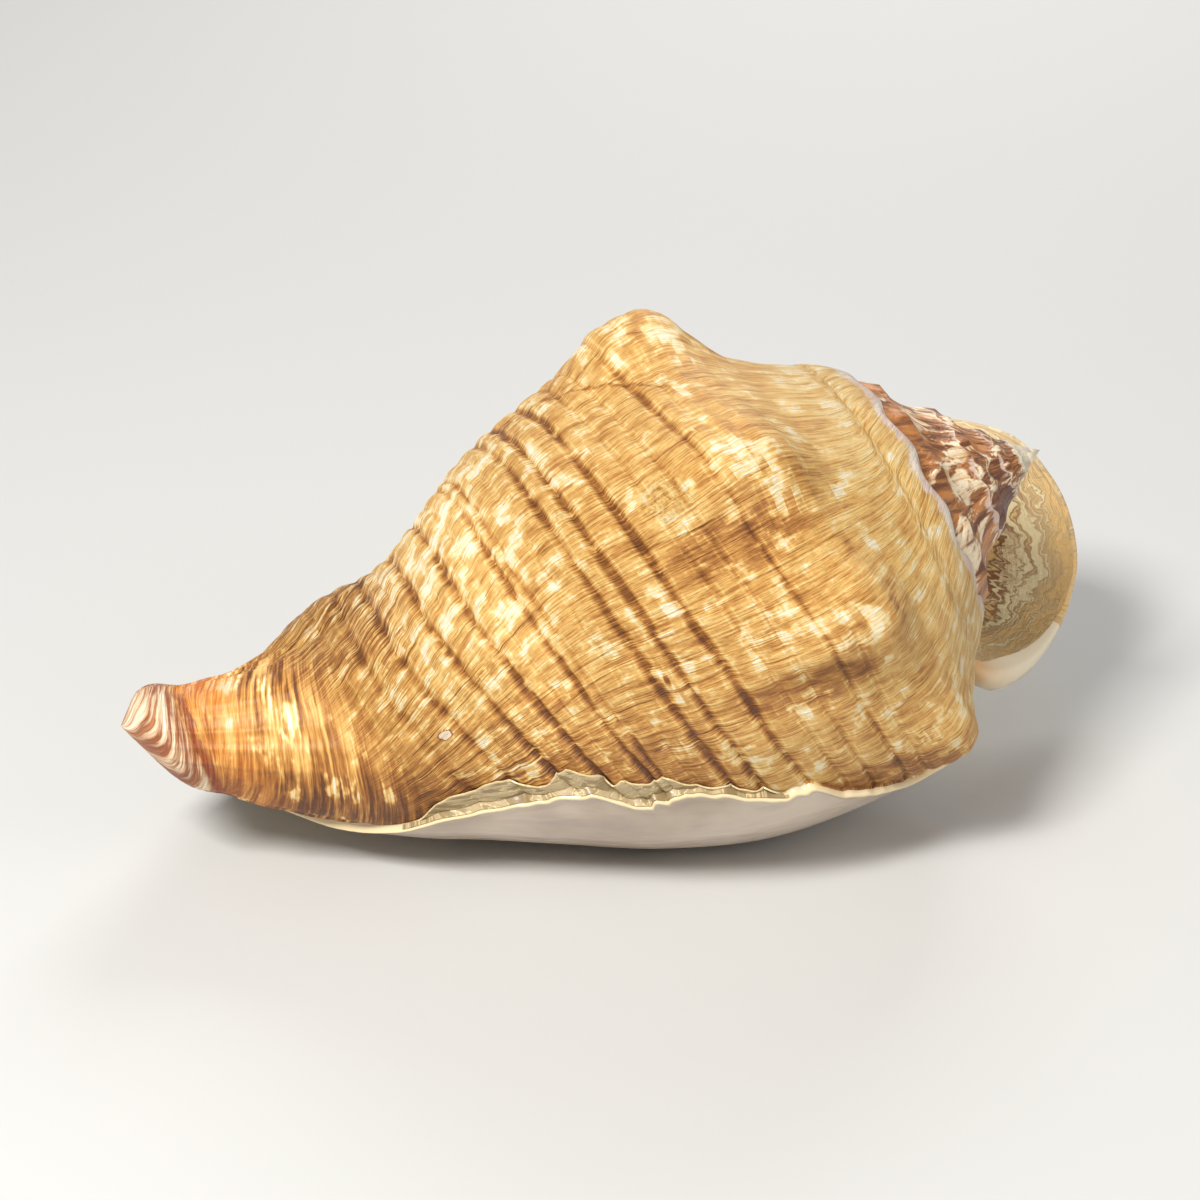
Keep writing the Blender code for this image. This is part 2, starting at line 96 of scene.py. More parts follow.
# row, then along, across and up
LIP_EDGE = np.array((
    (0.0, -27, 8, 59.5), (0.02, -19, 0, 47.5), (0.045, -6, 8, 42), (0.07, 9, 20, 38.5),
    (0.095, 22, 32, 39.5), (0.12, 31, 41, 45), (0.14, 34.5, 45, 54), (0.16, 34, 49, 66),
    (0.185, 30, 58, 80), (0.21, 20, 71, 92), (0.235, 1, 90, 93), (0.28, -22, 104, 78), (0.34, -52, 119, 52),
    (0.42, -85, 133, 26), (0.50, -120, 140, 14.5), (0.58, -155, 137, 12.5), (0.66, -188, 124, 14.5),
    (0.74, -214, 104, 19), (0.82, -238, 79, 27), (0.89, -256, 50, 34), (0.94, -270, 32, 38),
    (0.98, -284, 19, 45), (1.0, -291, 9, 56)))
LIP_WAY = np.array((
    (0.0, 0.2, -0.9, -0.4), (0.045, 0.6, -0.5, -0.5), (0.11, 0.95, 0.1, -0.25),
    (0.15, 0.95, 0.3, 0.0), (0.22, 0.55, 0.75, 0.1), (0.34, 0.15, 0.9, -0.3),
    (0.5, 0.0, 0.97, -0.15), (0.66, -0.2, 0.95, -0.2), (0.82, -0.35, 0.8, -0.5),
    (1.0, -0.3, 0.5, -0.5)))
GUTTER_LIFT, GUTTER_WIDE, EAR_LIFT, EAR_SHARE = 3.0, 8.0, 15.0, 0.79
WALL, LIP_WALL, ROLL_WALL = 4.0, 6.5, 14.0

# thickness of the glaze, where it ends, and the column that is drawn to its border
GLAZE, GLAZE_COLUMN = 2.0, 62
GLAZE_SHARE = (0.0, 0.24, 0.29, 0.33, 0.40, 0.44, 0.46, 0.50, 0.52, 0.56, 0.60, 0.64, 0.68, 0.72,
               0.76, 0.80, 0.82, 0.84, 0.86, 0.90, 1.0)
GLAZE_DEG = (36, 36, 39, 47, 55, 62, 62, 65, 68, 72, 70, 69, 75, 74, 72, 66, 61, 50, 38, 24, 10)

# degrees, share, height, spread towards the lip, spread towards the mouth side
KNOBS = ((4, 0.205, 4, 15, 15), (53, 0.205, 8, 15, 12), (100, 0.236, 10, 16, 10),
         (139, 0.24, 12, 16, 10), (191, 0.232, 13.5, 14, 12), (238, 0.22, 8, 15, 15),
         (285, 0.205, 5, 15, 15))
RIDGES = ((53, 1.5, 12, 8), (100, 5.0, 15, 6.5), (139, 4.5, 15, 6.5), (191, 2.5, 12, 10))
# row, depth, half width as a share
GROOVES = ((0.275, 0.5, 0.005), (0.306, 1.1, 0.005), (0.355, 0.7, 0.005), (0.392, 0.7, 0.005),
           (0.4375, 1.7, 0.006), (0.486, 1.7, 0.0055), (0.516, 1.6, 0.0055), (0.548, 0.4, 0.004),
           (0.581, 1.2, 0.0045), (0.597, 1.5, 0.005), (0.628, 0.5, 0.004), (0.656, 1.7, 0.006),
           (0.68, 0.35, 0.004), (0.703, 1.6, 0.006), (0.728, 0.35, 0.004), (0.75, 1.4, 0.006),
           (0.785, 1.0, 0.006), (0.815, 0.6, 0.006))


def ease(a, b, t):
    """Smooth step from 0 at a to 1 at b."""
    t = np.clip((np.asarray(t, float) - a) / (b - a), 0, 1)
    return t * t * (3 - 2 * t)


def wander(t, seed):
    """A smooth random line between minus one and one, with a turn at each whole number."""
    values = np.random.default_rng(seed).uniform(-1, 1, 4096)
    i = np.floor(t).astype(int)
    f = t - i
    f = f * f * (3 - 2 * f)
    return values[i % 4096] * (1 - f) + values[(i + 1) % 4096] * f


def hermite(u):
    """The four blending weights of a cubic piece."""
    return (2 * u**3 - 3 * u**2 + 1, 3 * u**2 - 2 * u**3, u**3 - 2 * u**2 + u, u**3 - u**2)


def curve(knots, values, t):
    """Smooth curve through values at the knots."""
    k = np.asarray(knots, float)
    p = np.asarray(values, float)
    t = np.asarray(t, float)
    m = np.gradient(p, k, axis=0)
    i = np.clip(np.searchsorted(k, t, side="right") - 1, 0, len(k) - 2)
    h = k[i + 1] - k[i]
    u = (t - k[i]) / h
    if p.ndim > 1:
        u, h = u[..., None], h[..., None]
    a, b, c, d = hermite(u)
    return p[i] * a + p[i + 1] * b + m[i] * h * c + m[i + 1] * h * d


def outwards(deg):
    """The way straight out from the axis at a turn."""
    t = np.radians(deg)
    return np.cos(t)[..., None] * DOWN + np.sin(t)[..., None] * NEAR


def place(x, radius, deg):
    """A point from its distance along the axis, its radius and its turn."""
    return APEX + x[..., None] * AXIS + radius[..., None] * outwards(deg)


def unit(a):
    """Vectors scaled to length one."""
    return a / np.maximum(np.linalg.norm(a, axis=-1, keepdims=True), 1e-9)


def spire_wave(deg):
    """Plus one on a spire knob, minus one between two."""
    return np.cos(np.radians((deg + 205.5) * SPIRE_KNOBS))


def suture(deg):
    """Distance along the axis and radius of the suture."""
    late = np.maximum(deg, START)
    size = SPIRE_GROWTH ** (np.minimum(deg - START, 0) / 360)
    wave = 1.6 * size * spire_wave(deg - 360) * (1 - ease(300, 350, deg)) * ease(-1500, -1100, deg)
    x = curve(SUTURE_DEG, SUTURE_X, late) * size - 0.75 * wave
    return x, curve(SUTURE_DEG, SUTURE_RADIUS, late) * size**SPIRE_FLARE + 0.6 * wave


def row_share(deg, row):
    """Rows bend with the spiral grooves, which sink towards the mouth side."""
    marks = (0, 0.2, 0.35, 0.45, 0.55, 0.66, 0.71, 0.76, 0.81, 0.87, 1.0)
    sizes = (0, 0, 0.3, 0.5, 0.6, 1.0, 1.1, 0.95, 0.5, 0, 0)
    return row - 0.066 * np.interp(row, marks, sizes) * np.clip((150 - deg) / 70, 0, 1.3) ** 1.4


def narrowing(deg, share):
    """How much thinner the core is, further back in the hollow."""
    t = np.clip(deg, -340, 60)
    marks = (-340, -190, -100, -50, -10, 28, 60)
    wide = curve(marks, (0.45, 0.60, 0.66, 0.80, 0.95, 1.0, 1.0), t)
    slim = curve(marks, (0.18, 0.36, 0.64, 0.82, 0.93, 1.0, 1.0), t)
    return wide + (slim - wide) * ease(0.15, 0.45, share)


def whorl(deg, row):
    """Surface of the last whorl and of the core inside the mouth, no relief."""
    deg, row = np.broadcast_arrays(np.asarray(deg, float), np.asarray(row, float))
    share = row_share(deg, row)
    core = 0.5 - 0.5 * np.cos(2 * np.pi * np.clip((-20 - deg) / 312, 0, 1))
    f = np.where(deg > 28, (deg - 28) / 180, core)
    sx, sr = suture(deg)
    qx, qr = suture(deg + 360)
    xs, rs = [sx, qx], [sr, qr]
    for at, low, top in zip(SHARES[2:], LOW_SIDE, TOP_SIDE):
        xs.append(low[0] + (top[0] - low[0]) * f)
        rs.append((low[1] + (top[1] - low[1]) * f) * narrowing(deg, at))
    p = np.stack([np.stack(xs, -1), np.stack(rs, -1)], -1)
    k = np.array(SHARES)
    m = np.gradient(p, k, axis=-2)
    i = np.clip(np.searchsorted(k, share, side="right") - 1, 0, len(k) - 2)
    h = (k[i + 1] - k[i])[..., None]
    a, b, c, d = hermite((share - k[i])[..., None] / h)
    j = i[..., None, None]
    p0, p1 = (np.take_along_axis(p, q, -2)[..., 0, :] for q in (j, j + 1))
    m0, m1 = (np.take_along_axis(m, q, -2)[..., 0, :] for q in (j, j + 1))
    q = p0 * a + p1 * b + m0 * h * c + m1 * h * d
    bent = np.clip((q[..., 0] - CANAL_BEND_FROM) / (CANAL_BEND_TO - CANAL_BEND_FROM), 0, 1.1) ** 1.8
    way = outwards(np.array(CANAL_BEND_DEG))
    return place(q[..., 0], q[..., 1], deg) + CANAL_BEND * bent[..., None] * way


def wing_sheet(deg, row):
    """Surface from the top of the shell out to the edge of the lip."""
    u = np.clip((deg - WING_FROM) / (LIP - WING_FROM), 0, 1)[..., None]
    top = np.full_like(deg, WING_FROM)
    start = whorl(top, row)
    leave = (whorl(top + 0.5, row) - whorl(top - 0.5, row)) * (LIP - WING_FROM)
    end = curve(LIP_EDGE[:, 0], LIP_EDGE[:, 1:], row)
    chord = np.linalg.norm(end - start, axis=-1, keepdims=True)
    span = np.maximum(np.linalg.norm(leave, axis=-1, keepdims=True), 1e-6)
    leave = leave * np.minimum(1, 1.25 * chord / span)
    arrive = unit(curve(LIP_WAY[:, 0], LIP_WAY[:, 1:], row)) * chord * 0.9
    a, b, c, d = hermite(u)
    p = start * a + end * b + leave * c + arrive * d
    ear = np.exp(-(((row - EAR_SHARE) / 0.085) ** 2)) * np.sin(np.pi * u[..., 0] ** 0.9) ** 1.5
    p[..., 2] += EAR_LIFT * ear
    wide = ease(0.05, 0.11, row) * (1 - ease(0.16, 0.30, row)) * np.sin(np.pi * u[..., 0]) ** 1.5
    return p + GUTTER_WIDE * wide[..., None] * outwards(deg)


def fan(deg, row):
    """The first rows of the wing, fanning out from the suture."""
    sx, sr = suture(deg)
    on_suture = place(sx, sr, deg)
    join = np.full_like(row, FAN_SHARE)
    slope = (wing_sheet(deg, join + 0.004) - wing_sheet(deg, join - 0.004)) * (FAN_SHARE / 0.008)
    across = wing_sheet(deg, join) - on_suture
    reach = np.linalg.norm(across, axis=-1, keepdims=True)
    steep = np.maximum(np.linalg.norm(slope, axis=-1, keepdims=True), 1e-6)
    slope = slope * np.minimum(1, 0.9 * reach / steep)
    t = np.clip(row / FAN_SHARE, 0, 1)[..., None]
    return on_suture + (2 * across - slope) * t + (slope - across) * t * t


def gutter(deg, row):
    """The wing's first rows, between the suture and its free sheet."""
    top, lip = np.full_like(row, WING_FROM), np.full_like(row, LIP)
    u = np.clip((deg - WING_FROM) / (LIP - WING_FROM), 0, 1)
    begin = (wing_sheet(top, row) - fan(top, row)) * (1 - ease(0, 0.5, u))[..., None]
    end = (wing_sheet(lip, row) - fan(lip, row)) * ease(0.5, 1, u)[..., None]
    t = np.clip(row / FAN_SHARE, 0, 1)
    clear = GUTTER_LIFT * 4 * t * (1 - t) * ease(0.1, 0.4, u) * (1 - ease(0.75, 1, u))
    return fan(deg, row) + begin + end + outwards(deg + 12) * clear[..., None]


def plain(deg, row):
    """Outer surface without relief."""
    deg, row = np.broadcast_arrays(np.asarray(deg, float), np.asarray(row, float))
    points = np.empty(deg.shape + (3,))
    flown, early = deg > WING_FROM, row < FAN_SHARE
    for part, surface in ((~flown, whorl), (flown & early, gutter), (flown & ~early, wing_sheet)):
        points[part] = surface(deg[part], row[part])
    return points


def facing(deg, row):
    """Outward directions of the outer surface."""
    deg = np.clip(deg, START + 0.5, LIP - 0.5)
    a = plain(deg + 0.4, row) - plain(deg - 0.4, row)
    b = plain(deg, np.clip(row + 0.003, 0, 1)) - plain(deg, np.clip(row - 0.003, 0, 1))
    return unit(np.cross(a, b))


def glaze_edge(row):
    """Growth angle at which the glaze of the mouth side ends, with its small waves."""
    main = curve(GLAZE_SHARE, GLAZE_DEG, row)
    ragged = 1.5 * np.abs(wander(row * 46, 3)) + 0.45 * wander(row * 95, 4)
    return main + ragged * ease(0.2, 0.3, row) * (1 - ease(0.84, 0.9, row))


def groove_row(deg, row):
    """Rows with the small wander that the spiral grooves have."""
    return row + 0.0018 * wander(deg / 7 + 31 * np.round(row * 28), 5) + 0.0008 * wander(deg / 2.1, 6)


def grooves(deg, row):
    """Depth of the spiral grooves."""
    at = groove_row(deg, row)
    cut = np.zeros(np.broadcast(deg, row).shape)
    for k, (g, depth, half) in enumerate(GROOVES):
        strength = depth * (0.8 + 0.35 * wander(deg / 11, 40 + k))
        cut = cut + strength * np.exp(-np.abs((at - g) / half) ** 1.7)
    return cut * (1 - 0.55 * ease(230, 330, deg))


def knobs(deg, row):
    """Height of the shoulder's knobs and of the ridges that run on from them."""
    high = np.zeros(np.broadcast(deg, row).shape)
    for at, share, height, ahead, behind in KNOBS:
        wide = np.where(row > share, 0.085, 0.044)
        side = np.where(deg > at, ahead, behind)
        high = high + height * np.exp(-(((deg - at) / side) ** 2) - ((row - share) / wide) ** 2)
    for at, height, ahead, behind in RIDGES:
        side = np.where(deg > at, ahead, behind)
        along = ease(0.24, 0.31, row) * (1 - ease(0.34, 0.47, row))
        high = high + height * along * np.exp(-(((deg - at) / side) ** 2))
    return high


def relief(deg, row):
    """Height of knobs, grooves and glaze over the plain surface."""
    edge = glaze_edge(row)
    bare = ease(0, 0.35, deg - edge)
    rim = np.exp(-(((deg - edge + 0.7) / 0.9) ** 2)) * (1 - bare)
    covered = ease(0.16, 0.24, row) * (1 - ease(0.86, 0.92, row))
    folds = 0.5 * wander(deg / 5.5 + 2.0 * wander(row * 9, 8), 7) * ease(0.1, 0.2, row) * bare
    sunk = grooves(deg, row) * bare * (1 - 0.5 * ease(140, 185, deg))
    return knobs(deg, row) - sunk + (GLAZE * (1 - bare) + 0.8 * rim) * covered + folds


def outer(deg, row):
    """Outer surface with its relief."""
    deg, row = np.broadcast_arrays(np.asarray(deg, float), np.asarray(row, float))
    free = ease(0.0, 0.05, row) * (1 - ease(0.95, 1.0, row))
    ledge = 1.6 * ease(0.0, 0.01, row) * (1 - ease(0.02, 0.07, row)) * (1 - ease(310, 345, deg))
    return plain(deg, row) + facing(deg, row) * (relief(deg, row) * free + ledge)[..., None]


def wall(deg, row):
    """Thickness of the wall."""
    flat = WALL + (LIP_WALL - WALL) * ease(250, 350, deg)
    at_roll = (1 - ease(0.03, 0.13, row)) * ease(335, 350, deg) * ease(0.015, 0.05, row)
    thin = 1 - 0.65 * ease(280, 340, deg) * (1 - ease(0.0, 0.05, row))
    return (flat * thin + (ROLL_WALL - LIP_WALL) * at_roll) * (1 - 0.9 * ease(0.8, 1.0, row))


def spire(deg, w):
    """Exposed strip of the earlier whorls, from its suture to the next."""
    deg, w = np.broadcast_arrays(np.asarray(deg, float), np.asarray(w, float))
    x0, r0 = suture(deg)
    x1, r1 = suture(deg + 360)
    late = ease(-150, -20, deg)
    hump = np.exp(-(((w - 0.78) / 0.17) ** 2)) * np.sin(np.pi * np.clip(w, 0, 1)) ** 0.5
    knob = (0.5 + 0.5 * spire_wave(deg)) ** 1.5
    dip = np.sin(np.pi * np.clip(w / 0.7, 0, 1))
    push = (r1 - r0) * (1 - late) * (0.13 * hump * knob - 0.10 * dip) * ease(-1600, -1400, deg)
    span = np.hypot(r1 - r0, x1 - x0)
    x = x0 + (x1 - x0) * w + push * (r1 - r0) / span
    radius = r0 + (r1 - r0) * w - push * (x1 - x0) / span
    mine = place(x, radius, deg)
    return mine + (whorl(deg, w * SUTURE_SHARE) - mine) * late[..., None]


def outer_columns():
    """Growth angles of the outer columns, close together on the near side."""
    return np.concatenate([np.linspace(START, 205, 206), np.linspace(205, LIP, 66)[1:]])


def row_list():
    """Shares of the rows, without the tip."""
    parts = ((0, SUTURE_SHARE, 8), (SUTURE_SHARE, CORNER_SHARE, 5), (CORNER_SHARE, 0.205, 20),
             (0.205, 0.80, 142), (0.80, 0.985, 32))
    rows = [np.linspace(a, b, n + 1)[1:] for a, b, n in parts]
    return np.concatenate([[0.0]] + rows)


def follow_glaze(degs, rows):
    """Columns slide along each row so that a close group of them borders the glaze."""
    last = int(np.argmin(np.abs(degs - WING_FROM)))
    pick = int(np.argmin(np.abs(degs - GLAZE_COLUMN)))
    edge = glaze_edge(rows)
    grid = np.repeat(degs[:, None], len(rows), 1)
    for j, row in enumerate(rows):
        spots = edge[j] + np.array([-1.6, -0.8, -0.35, 0.0, 0.2, 0.4, 1.1])
        marks = degs[pick - 3:pick + 4]
        moved = np.interp(degs[:last + 1], [degs[0], *marks, degs[last]], [degs[0], *spots, degs[last]])
        grid[:last + 1, j] += (moved - grid[:last + 1, j]) * ease(0.12, 0.2, row)
    return grid


class Skin:
    """Points, faces and what the faces' corners know of growth and row."""

    def __init__(self):
        self.points, self.faces, self.turns, self.rows, self.kinds = [], [], [], [], []

    def add(self, points):
        """More points; gives their numbers."""
        points = np.asarray(points, float).reshape(-1, 3)
        first = len(self.points)
        self.points.extend(points)
        return np.arange(first, first + len(points))

    def block(self, ids, turns, rows, kinds):
        """Faces between the columns of a table, dropping corners that coincide."""
        def corners(t):
            return np.stack([t[:-1, :-1], t[1:, :-1], t[1:, 1:], t[:-1, 1:]], -1).reshape(-1, 4)
        quads, turn4, row4 = corners(ids), corners(turns), corners(rows)
        kind = np.broadcast_to(kinds, (ids.shape[0] - 1, ids.shape[1] - 1)).reshape(-1)
        same = quads == np.roll(quads, -1, 1)
        for keep in ((0, 1, 2, 3), (1, 2, 3), (0, 2, 3), (0, 1, 3), (0, 1, 2)):
            picked = ~same.any(1) if len(keep) == 4 else same[:, list({0, 1, 2, 3} - set(keep))[0]]
            if len(keep) == 3:
                picked = picked & (same.sum(1) == 1)
            self.faces.extend(quads[picked][:, keep].tolist())
            self.turns.extend(turn4[picked][:, keep].ravel())
            self.rows.extend(row4[picked][:, keep].ravel())
            self.kinds.extend(kind[picked].tolist())


OUTSIDE, SPIRE, MOUTH = 0, 1, 2
INNER_COLUMNS = 53
skin = Skin()
degs, rows = outer_columns(), row_list()
last_column, tip_row = len(degs) - 1, len(rows)
# the first rows are the step at the suture, and the inner sheet starts five rows further
step_rows = int(np.argmin(np.abs(rows - SUTURE_SHARE)))
fold_row = int(np.argmin(np.abs(rows - CORNER_SHARE)))
grid = follow_glaze(degs, rows)
outside = outer(grid, rows[None])

# outer sheet
tip = int(skin.add(plain(np.array(100.0), np.array(1.0)))[0])
out_ids = -np.ones((last_column + 1, tip_row + 1), int)
out_ids[:, tip_row] = tip
out_ids[0, :tip_row] = skin.add(outside[0])
for i in range(1, last_column):
    out_ids[i, :tip_row] = skin.add(outside[i])
out_ids[last_column, 0] = out_ids[0, step_rows]
out_ids[last_column, 1:tip_row] = skin.add(outside[last_column, 1:])
all_rows = np.append(rows, 1.0)
turn_table = np.concatenate([grid, degs[:, None]], 1)
row_table = np.broadcast_to(all_rows, (last_column + 1, tip_row + 1))
brink = int(np.argmin(np.abs(degs - GLAZE_COLUMN))) + np.where(all_rows[1:] > 0.45, 2, 1)
glazed = (np.arange(last_column)[:, None] < brink[None]) & (all_rows[1:] > 0.2)[None]
skin.block(out_ids, turn_table, row_table, np.where(glazed, MOUTH, OUTSIDE))
outer_corners = len(skin.turns)

# lip, inner sheet, end of the hollow and core
inner_degs = np.linspace(HOLLOW_FROM, LIP, INNER_COLUMNS)
inner_grid = np.broadcast_to(inner_degs[:, None], (INNER_COLUMNS, tip_row))
normal = facing(inner_grid, rows[None])
core = whorl(inner_grid - 360, rows[None])
inside = plain(inner_grid, rows[None]) - normal * wall(inner_grid, rows[None])[..., None]
join = int(np.argmax(rows > 0.12))
straight = (1 - ease(280, 340, inner_degs))[:, None]
for j in range(1, join):
    part_way = (rows[j] / rows[join]) ** 0.8
    line = core[:, fold_row] + (inside[:, join] - core[:, fold_row]) * part_way
    inside[:, j] += (line - inside[:, j]) * straight

core_ids = -np.ones((INNER_COLUMNS, tip_row + 1), int)
core_ids[:, tip_row] = tip
core_ids[-1] = out_ids[0]
for i in range(INNER_COLUMNS - 1):
    core_ids[i, fold_row:tip_row] = skin.add(core[i, fold_row:])
    core_ids[i, :fold_row] = core_ids[i, fold_row]
in_ids = -np.ones((INNER_COLUMNS, tip_row + 1), int)
in_ids[:, tip_row] = tip
in_ids[:, 0] = core_ids[:, fold_row]
for i in range(INNER_COLUMNS):
    in_ids[i, 1:tip_row] = skin.add(inside[i, 1:])

at_lip = np.full(tip_row, LIP)
way = unit(plain(at_lip, rows) - plain(at_lip - 1.0, rows))
thick = wall(at_lip, rows)[:, None]
lip_ids = [out_ids[last_column]]
for k in range(1, 5):
    a = np.pi * k / 5
    across_lip = normal[-1] * thick * (1 - np.cos(a)) / 2
    ring = outside[last_column] - across_lip + way * thick * 0.5 * np.sin(a)
    first_id = out_ids[0, step_rows + k]
    lip_ids.append(np.concatenate([[first_id], skin.add(ring[1:]), [tip]]))
lip_ids.append(in_ids[-1])
lip_table = np.array(lip_ids)
rolled = np.where((np.arange(5) < 2)[:, None] & (all_rows[1:] > 0.10)[None], OUTSIDE, MOUTH)
lip_turns, lip_rows = np.full(lip_table.shape, LIP), np.broadcast_to(all_rows, lip_table.shape)
skin.block(lip_table, lip_turns, lip_rows, rolled)
back_turns = np.broadcast_to(inner_degs[::-1, None], (INNER_COLUMNS, tip_row + 1))
inner_rows = np.broadcast_to(all_rows, (INNER_COLUMNS, tip_row + 1))
skin.block(in_ids[::-1], back_turns, inner_rows, MOUTH)
side = np.full(tip_row, HOLLOW_FROM)
backwards = unit(plain(side - 1.0, rows) - plain(side, rows))
end_ids = [in_ids[0]]
for part_way in (0.25, 0.75):
    far = core[0, np.maximum(np.arange(tip_row), fold_row)]
    gap = np.linalg.norm(far - inside[0], axis=-1)
    bulge = backwards * (0.25 * gap * ease(0.0, 0.15, rows))[:, None]
    col = inside[0] + (far - inside[0]) * part_way + bulge
    end_ids.append(np.concatenate([[core_ids[0, fold_row]], skin.add(col[1:]), [tip]]))
end_ids.append(core_ids[0])
end_table = np.array(end_ids)
end_turns, end_rows = np.full(end_table.shape, HOLLOW_FROM), np.broadcast_to(all_rows, end_table.shape)
skin.block(end_table, end_turns, end_rows, MOUTH)
core_turns = np.broadcast_to(inner_degs[:, None] - 360, (INNER_COLUMNS, tip_row - fold_row + 1))
skin.block(core_ids[:, fold_row:], core_turns, inner_rows[:, fold_row:], MOUTH)

# earlier whorls, welded to the last one along the sutures
first = -int(TURNS * last_column)
cols = np.arange(first, 1)
whole, part = cols // last_column, cols % last_column
turned = degs[part] + 360.0 * whole
between = np.linspace(0, 1, step_rows + 1)
strip = spire(turned[:, None], between[None])
top_ids = {c: int(out_ids[c, 0]) for c in range(last_column + 1)}
for a, c in enumerate(cols[:-1]):
    top_ids[int(c)] = int(skin.add(strip[a, 0])[0])
spire_ids = -np.ones((len(cols), step_rows + 1), int)
for a, c in enumerate(cols):
    spire_ids[a, 0] = top_ids[int(c)]
    spire_ids[a, step_rows] = top_ids[int(c) + last_column]
    spire_ids[a, 1:step_rows] = out_ids[0, 1:step_rows] if c == 0 else skin.add(strip[a, 1:step_rows])
skin.block(spire_ids, np.broadcast_to(turned[:, None], spire_ids.shape),
           np.broadcast_to(between, spire_ids.shape), SPIRE)
apex = int(skin.add(APEX)[0])
for c in range(first, first + last_column):
    skin.faces.append([apex, top_ids[c + 1], top_ids[c]])
for k in range(step_rows):
    skin.faces.append([apex, int(spire_ids[0, k]), int(spire_ids[0, k + 1])])
skin.turns.extend([-1600.0] * 3 * (last_column + step_rows))
skin.rows.extend([0.5] * 3 * (last_column + step_rows))
skin.kinds.extend([SPIRE] * (last_column + step_rows))

points = np.array(skin.points)
points[:, 2] = np.maximum(points[:, 2] - FLOOR_CUT, 0.0)
points[:, :2] -= MIDDLE
mesh = bpy.data.meshes.new("shell_skin")
mesh.from_pydata((points * 0.001).tolist(), [], skin.faces)
mesh.polygons.foreach_set("material_index", skin.kinds)
mesh.polygons.foreach_set("use_smooth", [True] * len(skin.faces))
corner_turn, corner_row = np.array(skin.turns), np.array(skin.rows)
mesh.update()
shell = bpy.data.objects.new("shell_skin", mesh)
bpy.context.scene.collection.objects.link(shell)

# growth lines bend back along the canal, so they have a coordinate of their own: these are
# its slopes, in degrees for each whole share
GROWTH_MARKS = (0.0, 0.03, 0.05, 0.12, 0.16, 0.5, 0.6, 0.7, 0.76, 0.8, 0.84, 1.0)
GROWTH_SLOPES = (220, 200, 120, 80, 20, 0, 73, 150, 230, 300, 340, 340)
DEEPEST_GROOVE, TALL_KNOB = 1.7, 12.0
fine = np.linspace(0, 1, 1001)
summed = np.cumsum(np.interp(fine, GROWTH_MARKS, GROWTH_SLOPES)) * 0.001
corner_share = row_share(corner_turn, corner_row)
growth = corner_turn + np.interp(corner_share, fine, summed)
band_marks = [0.0, 0.05, 0.09, 0.13, 0.17, 0.2, 0.225, 0.25] + [groove[0] for groove in GROOVES]
bands = np.array(band_marks + [0.84, 0.87, 0.9, 0.94, 1.0])
bands = np.sort(np.concatenate([bands, (bands[:-1] + bands[1:]) / 2]))
band = np.interp(groove_row(corner_turn, corner_row), bands, np.arange(len(bands)))
cut = grooves(corner_turn, corner_row) / DEEPEST_GROOVE
high = knobs(corner_turn, corner_row) / TALL_KNOB
away = corner_turn - glaze_edge(corner_row)
outermost = np.arange(len(corner_turn)) < outer_corners
rim = np.exp(-(((away + 0.1) / 0.55) ** 2)) * outermost
for name, values in (("turn", corner_turn), ("row", corner_row), ("growth", growth), ("band", band),
                     ("cut", cut), ("high", high), ("share", corner_share), ("rim", rim),
                     ("inside", 1.0 - outermost)):
    layer = mesh.attributes.new(name, "FLOAT", "CORNER")
    layer.data.foreach_set("value", values.astype(np.float32))
at_corner = np.empty(len(mesh.loops), int)
mesh.loops.foreach_get("vertex_index", at_corner)
free = ease(START + 2, START + 10, corner_turn) * (1 - ease(LIP - 25, LIP - 8, corner_turn))
free = free * ease(0.3, 1.2, away) * ease(0.05, 0.1, corner_row)
free = free * (1 - ease(0.93, 0.97, corner_row)) * outermost
for name, values in (("bare", free), ("growth_here", growth), ("band_here", band)):
    at_point = np.zeros(len(mesh.vertices))
    at_point[at_corner[:outer_corners]] = values[:outer_corners]
    layer = mesh.attributes.new(name, "FLOAT", "POINT")
    layer.data.foreach_set("value", at_point.astype(np.float32))


# The skin's materials.
# Ochre on the bare outside, marbled brown on the spire and glaze in the mouth. Shader nodes
# read how far the shell had grown at each corner, so every marking follows the growth.
def node(tree, kind, **given):
    """A node with its settings; a socket given as a value is linked."""
    made = tree.nodes.new(kind)
    for key, value in given.items():
        if key.startswith("in_"):
            key = key[3:]
            key = int(key) if key.isdigit() else key.replace("_", " ")
            if isinstance(value, bpy.types.NodeSocket):
                tree.links.new(value, made.inputs[key])
            else:
                made.inputs[key].default_value = value
        else:
            setattr(made, key, value)
    return made


def maths(tree, kind, a, b=0.0, c=0.0, clamp=False):
    """Result of a Math node."""
    return node(tree, "ShaderNodeMath", operation=kind, use_clamp=clamp, in_0=a, in_1=b, in_2=c).outputs[0]


def known(tree, name):
    """An attribute of the mesh."""
    return node(tree, "ShaderNodeAttribute", attribute_name=name).outputs["Fac"]


def spot(tree, x, y=0.0, z=0.0):
    """A vector from three values."""
    return node(tree, "ShaderNodeCombineXYZ", in_0=x, in_1=y, in_2=z).outputs[0]


def grain(tree, vector, scale=1.0, detail=2.0, rough=0.5, warp=0.0):
    """Noise between 0 and 1 at a vector."""
    made = node(tree, "ShaderNodeTexNoise", in_Vector=vector, in_Scale=scale, in_Detail=detail,
                in_Roughness=rough, in_Distortion=warp)
    return made.outputs["Fac"]


def step(tree, value, low, high, smooth=True):
    """0 below low, 1 above high."""
    made = node(tree, "ShaderNodeMapRange", in_Value=value)
    made.interpolation_type = "SMOOTHSTEP" if smooth else "LINEAR"
    made.inputs["From Min"].default_value = low
    made.inputs["From Max"].default_value = high
    return made.outputs["Result"]


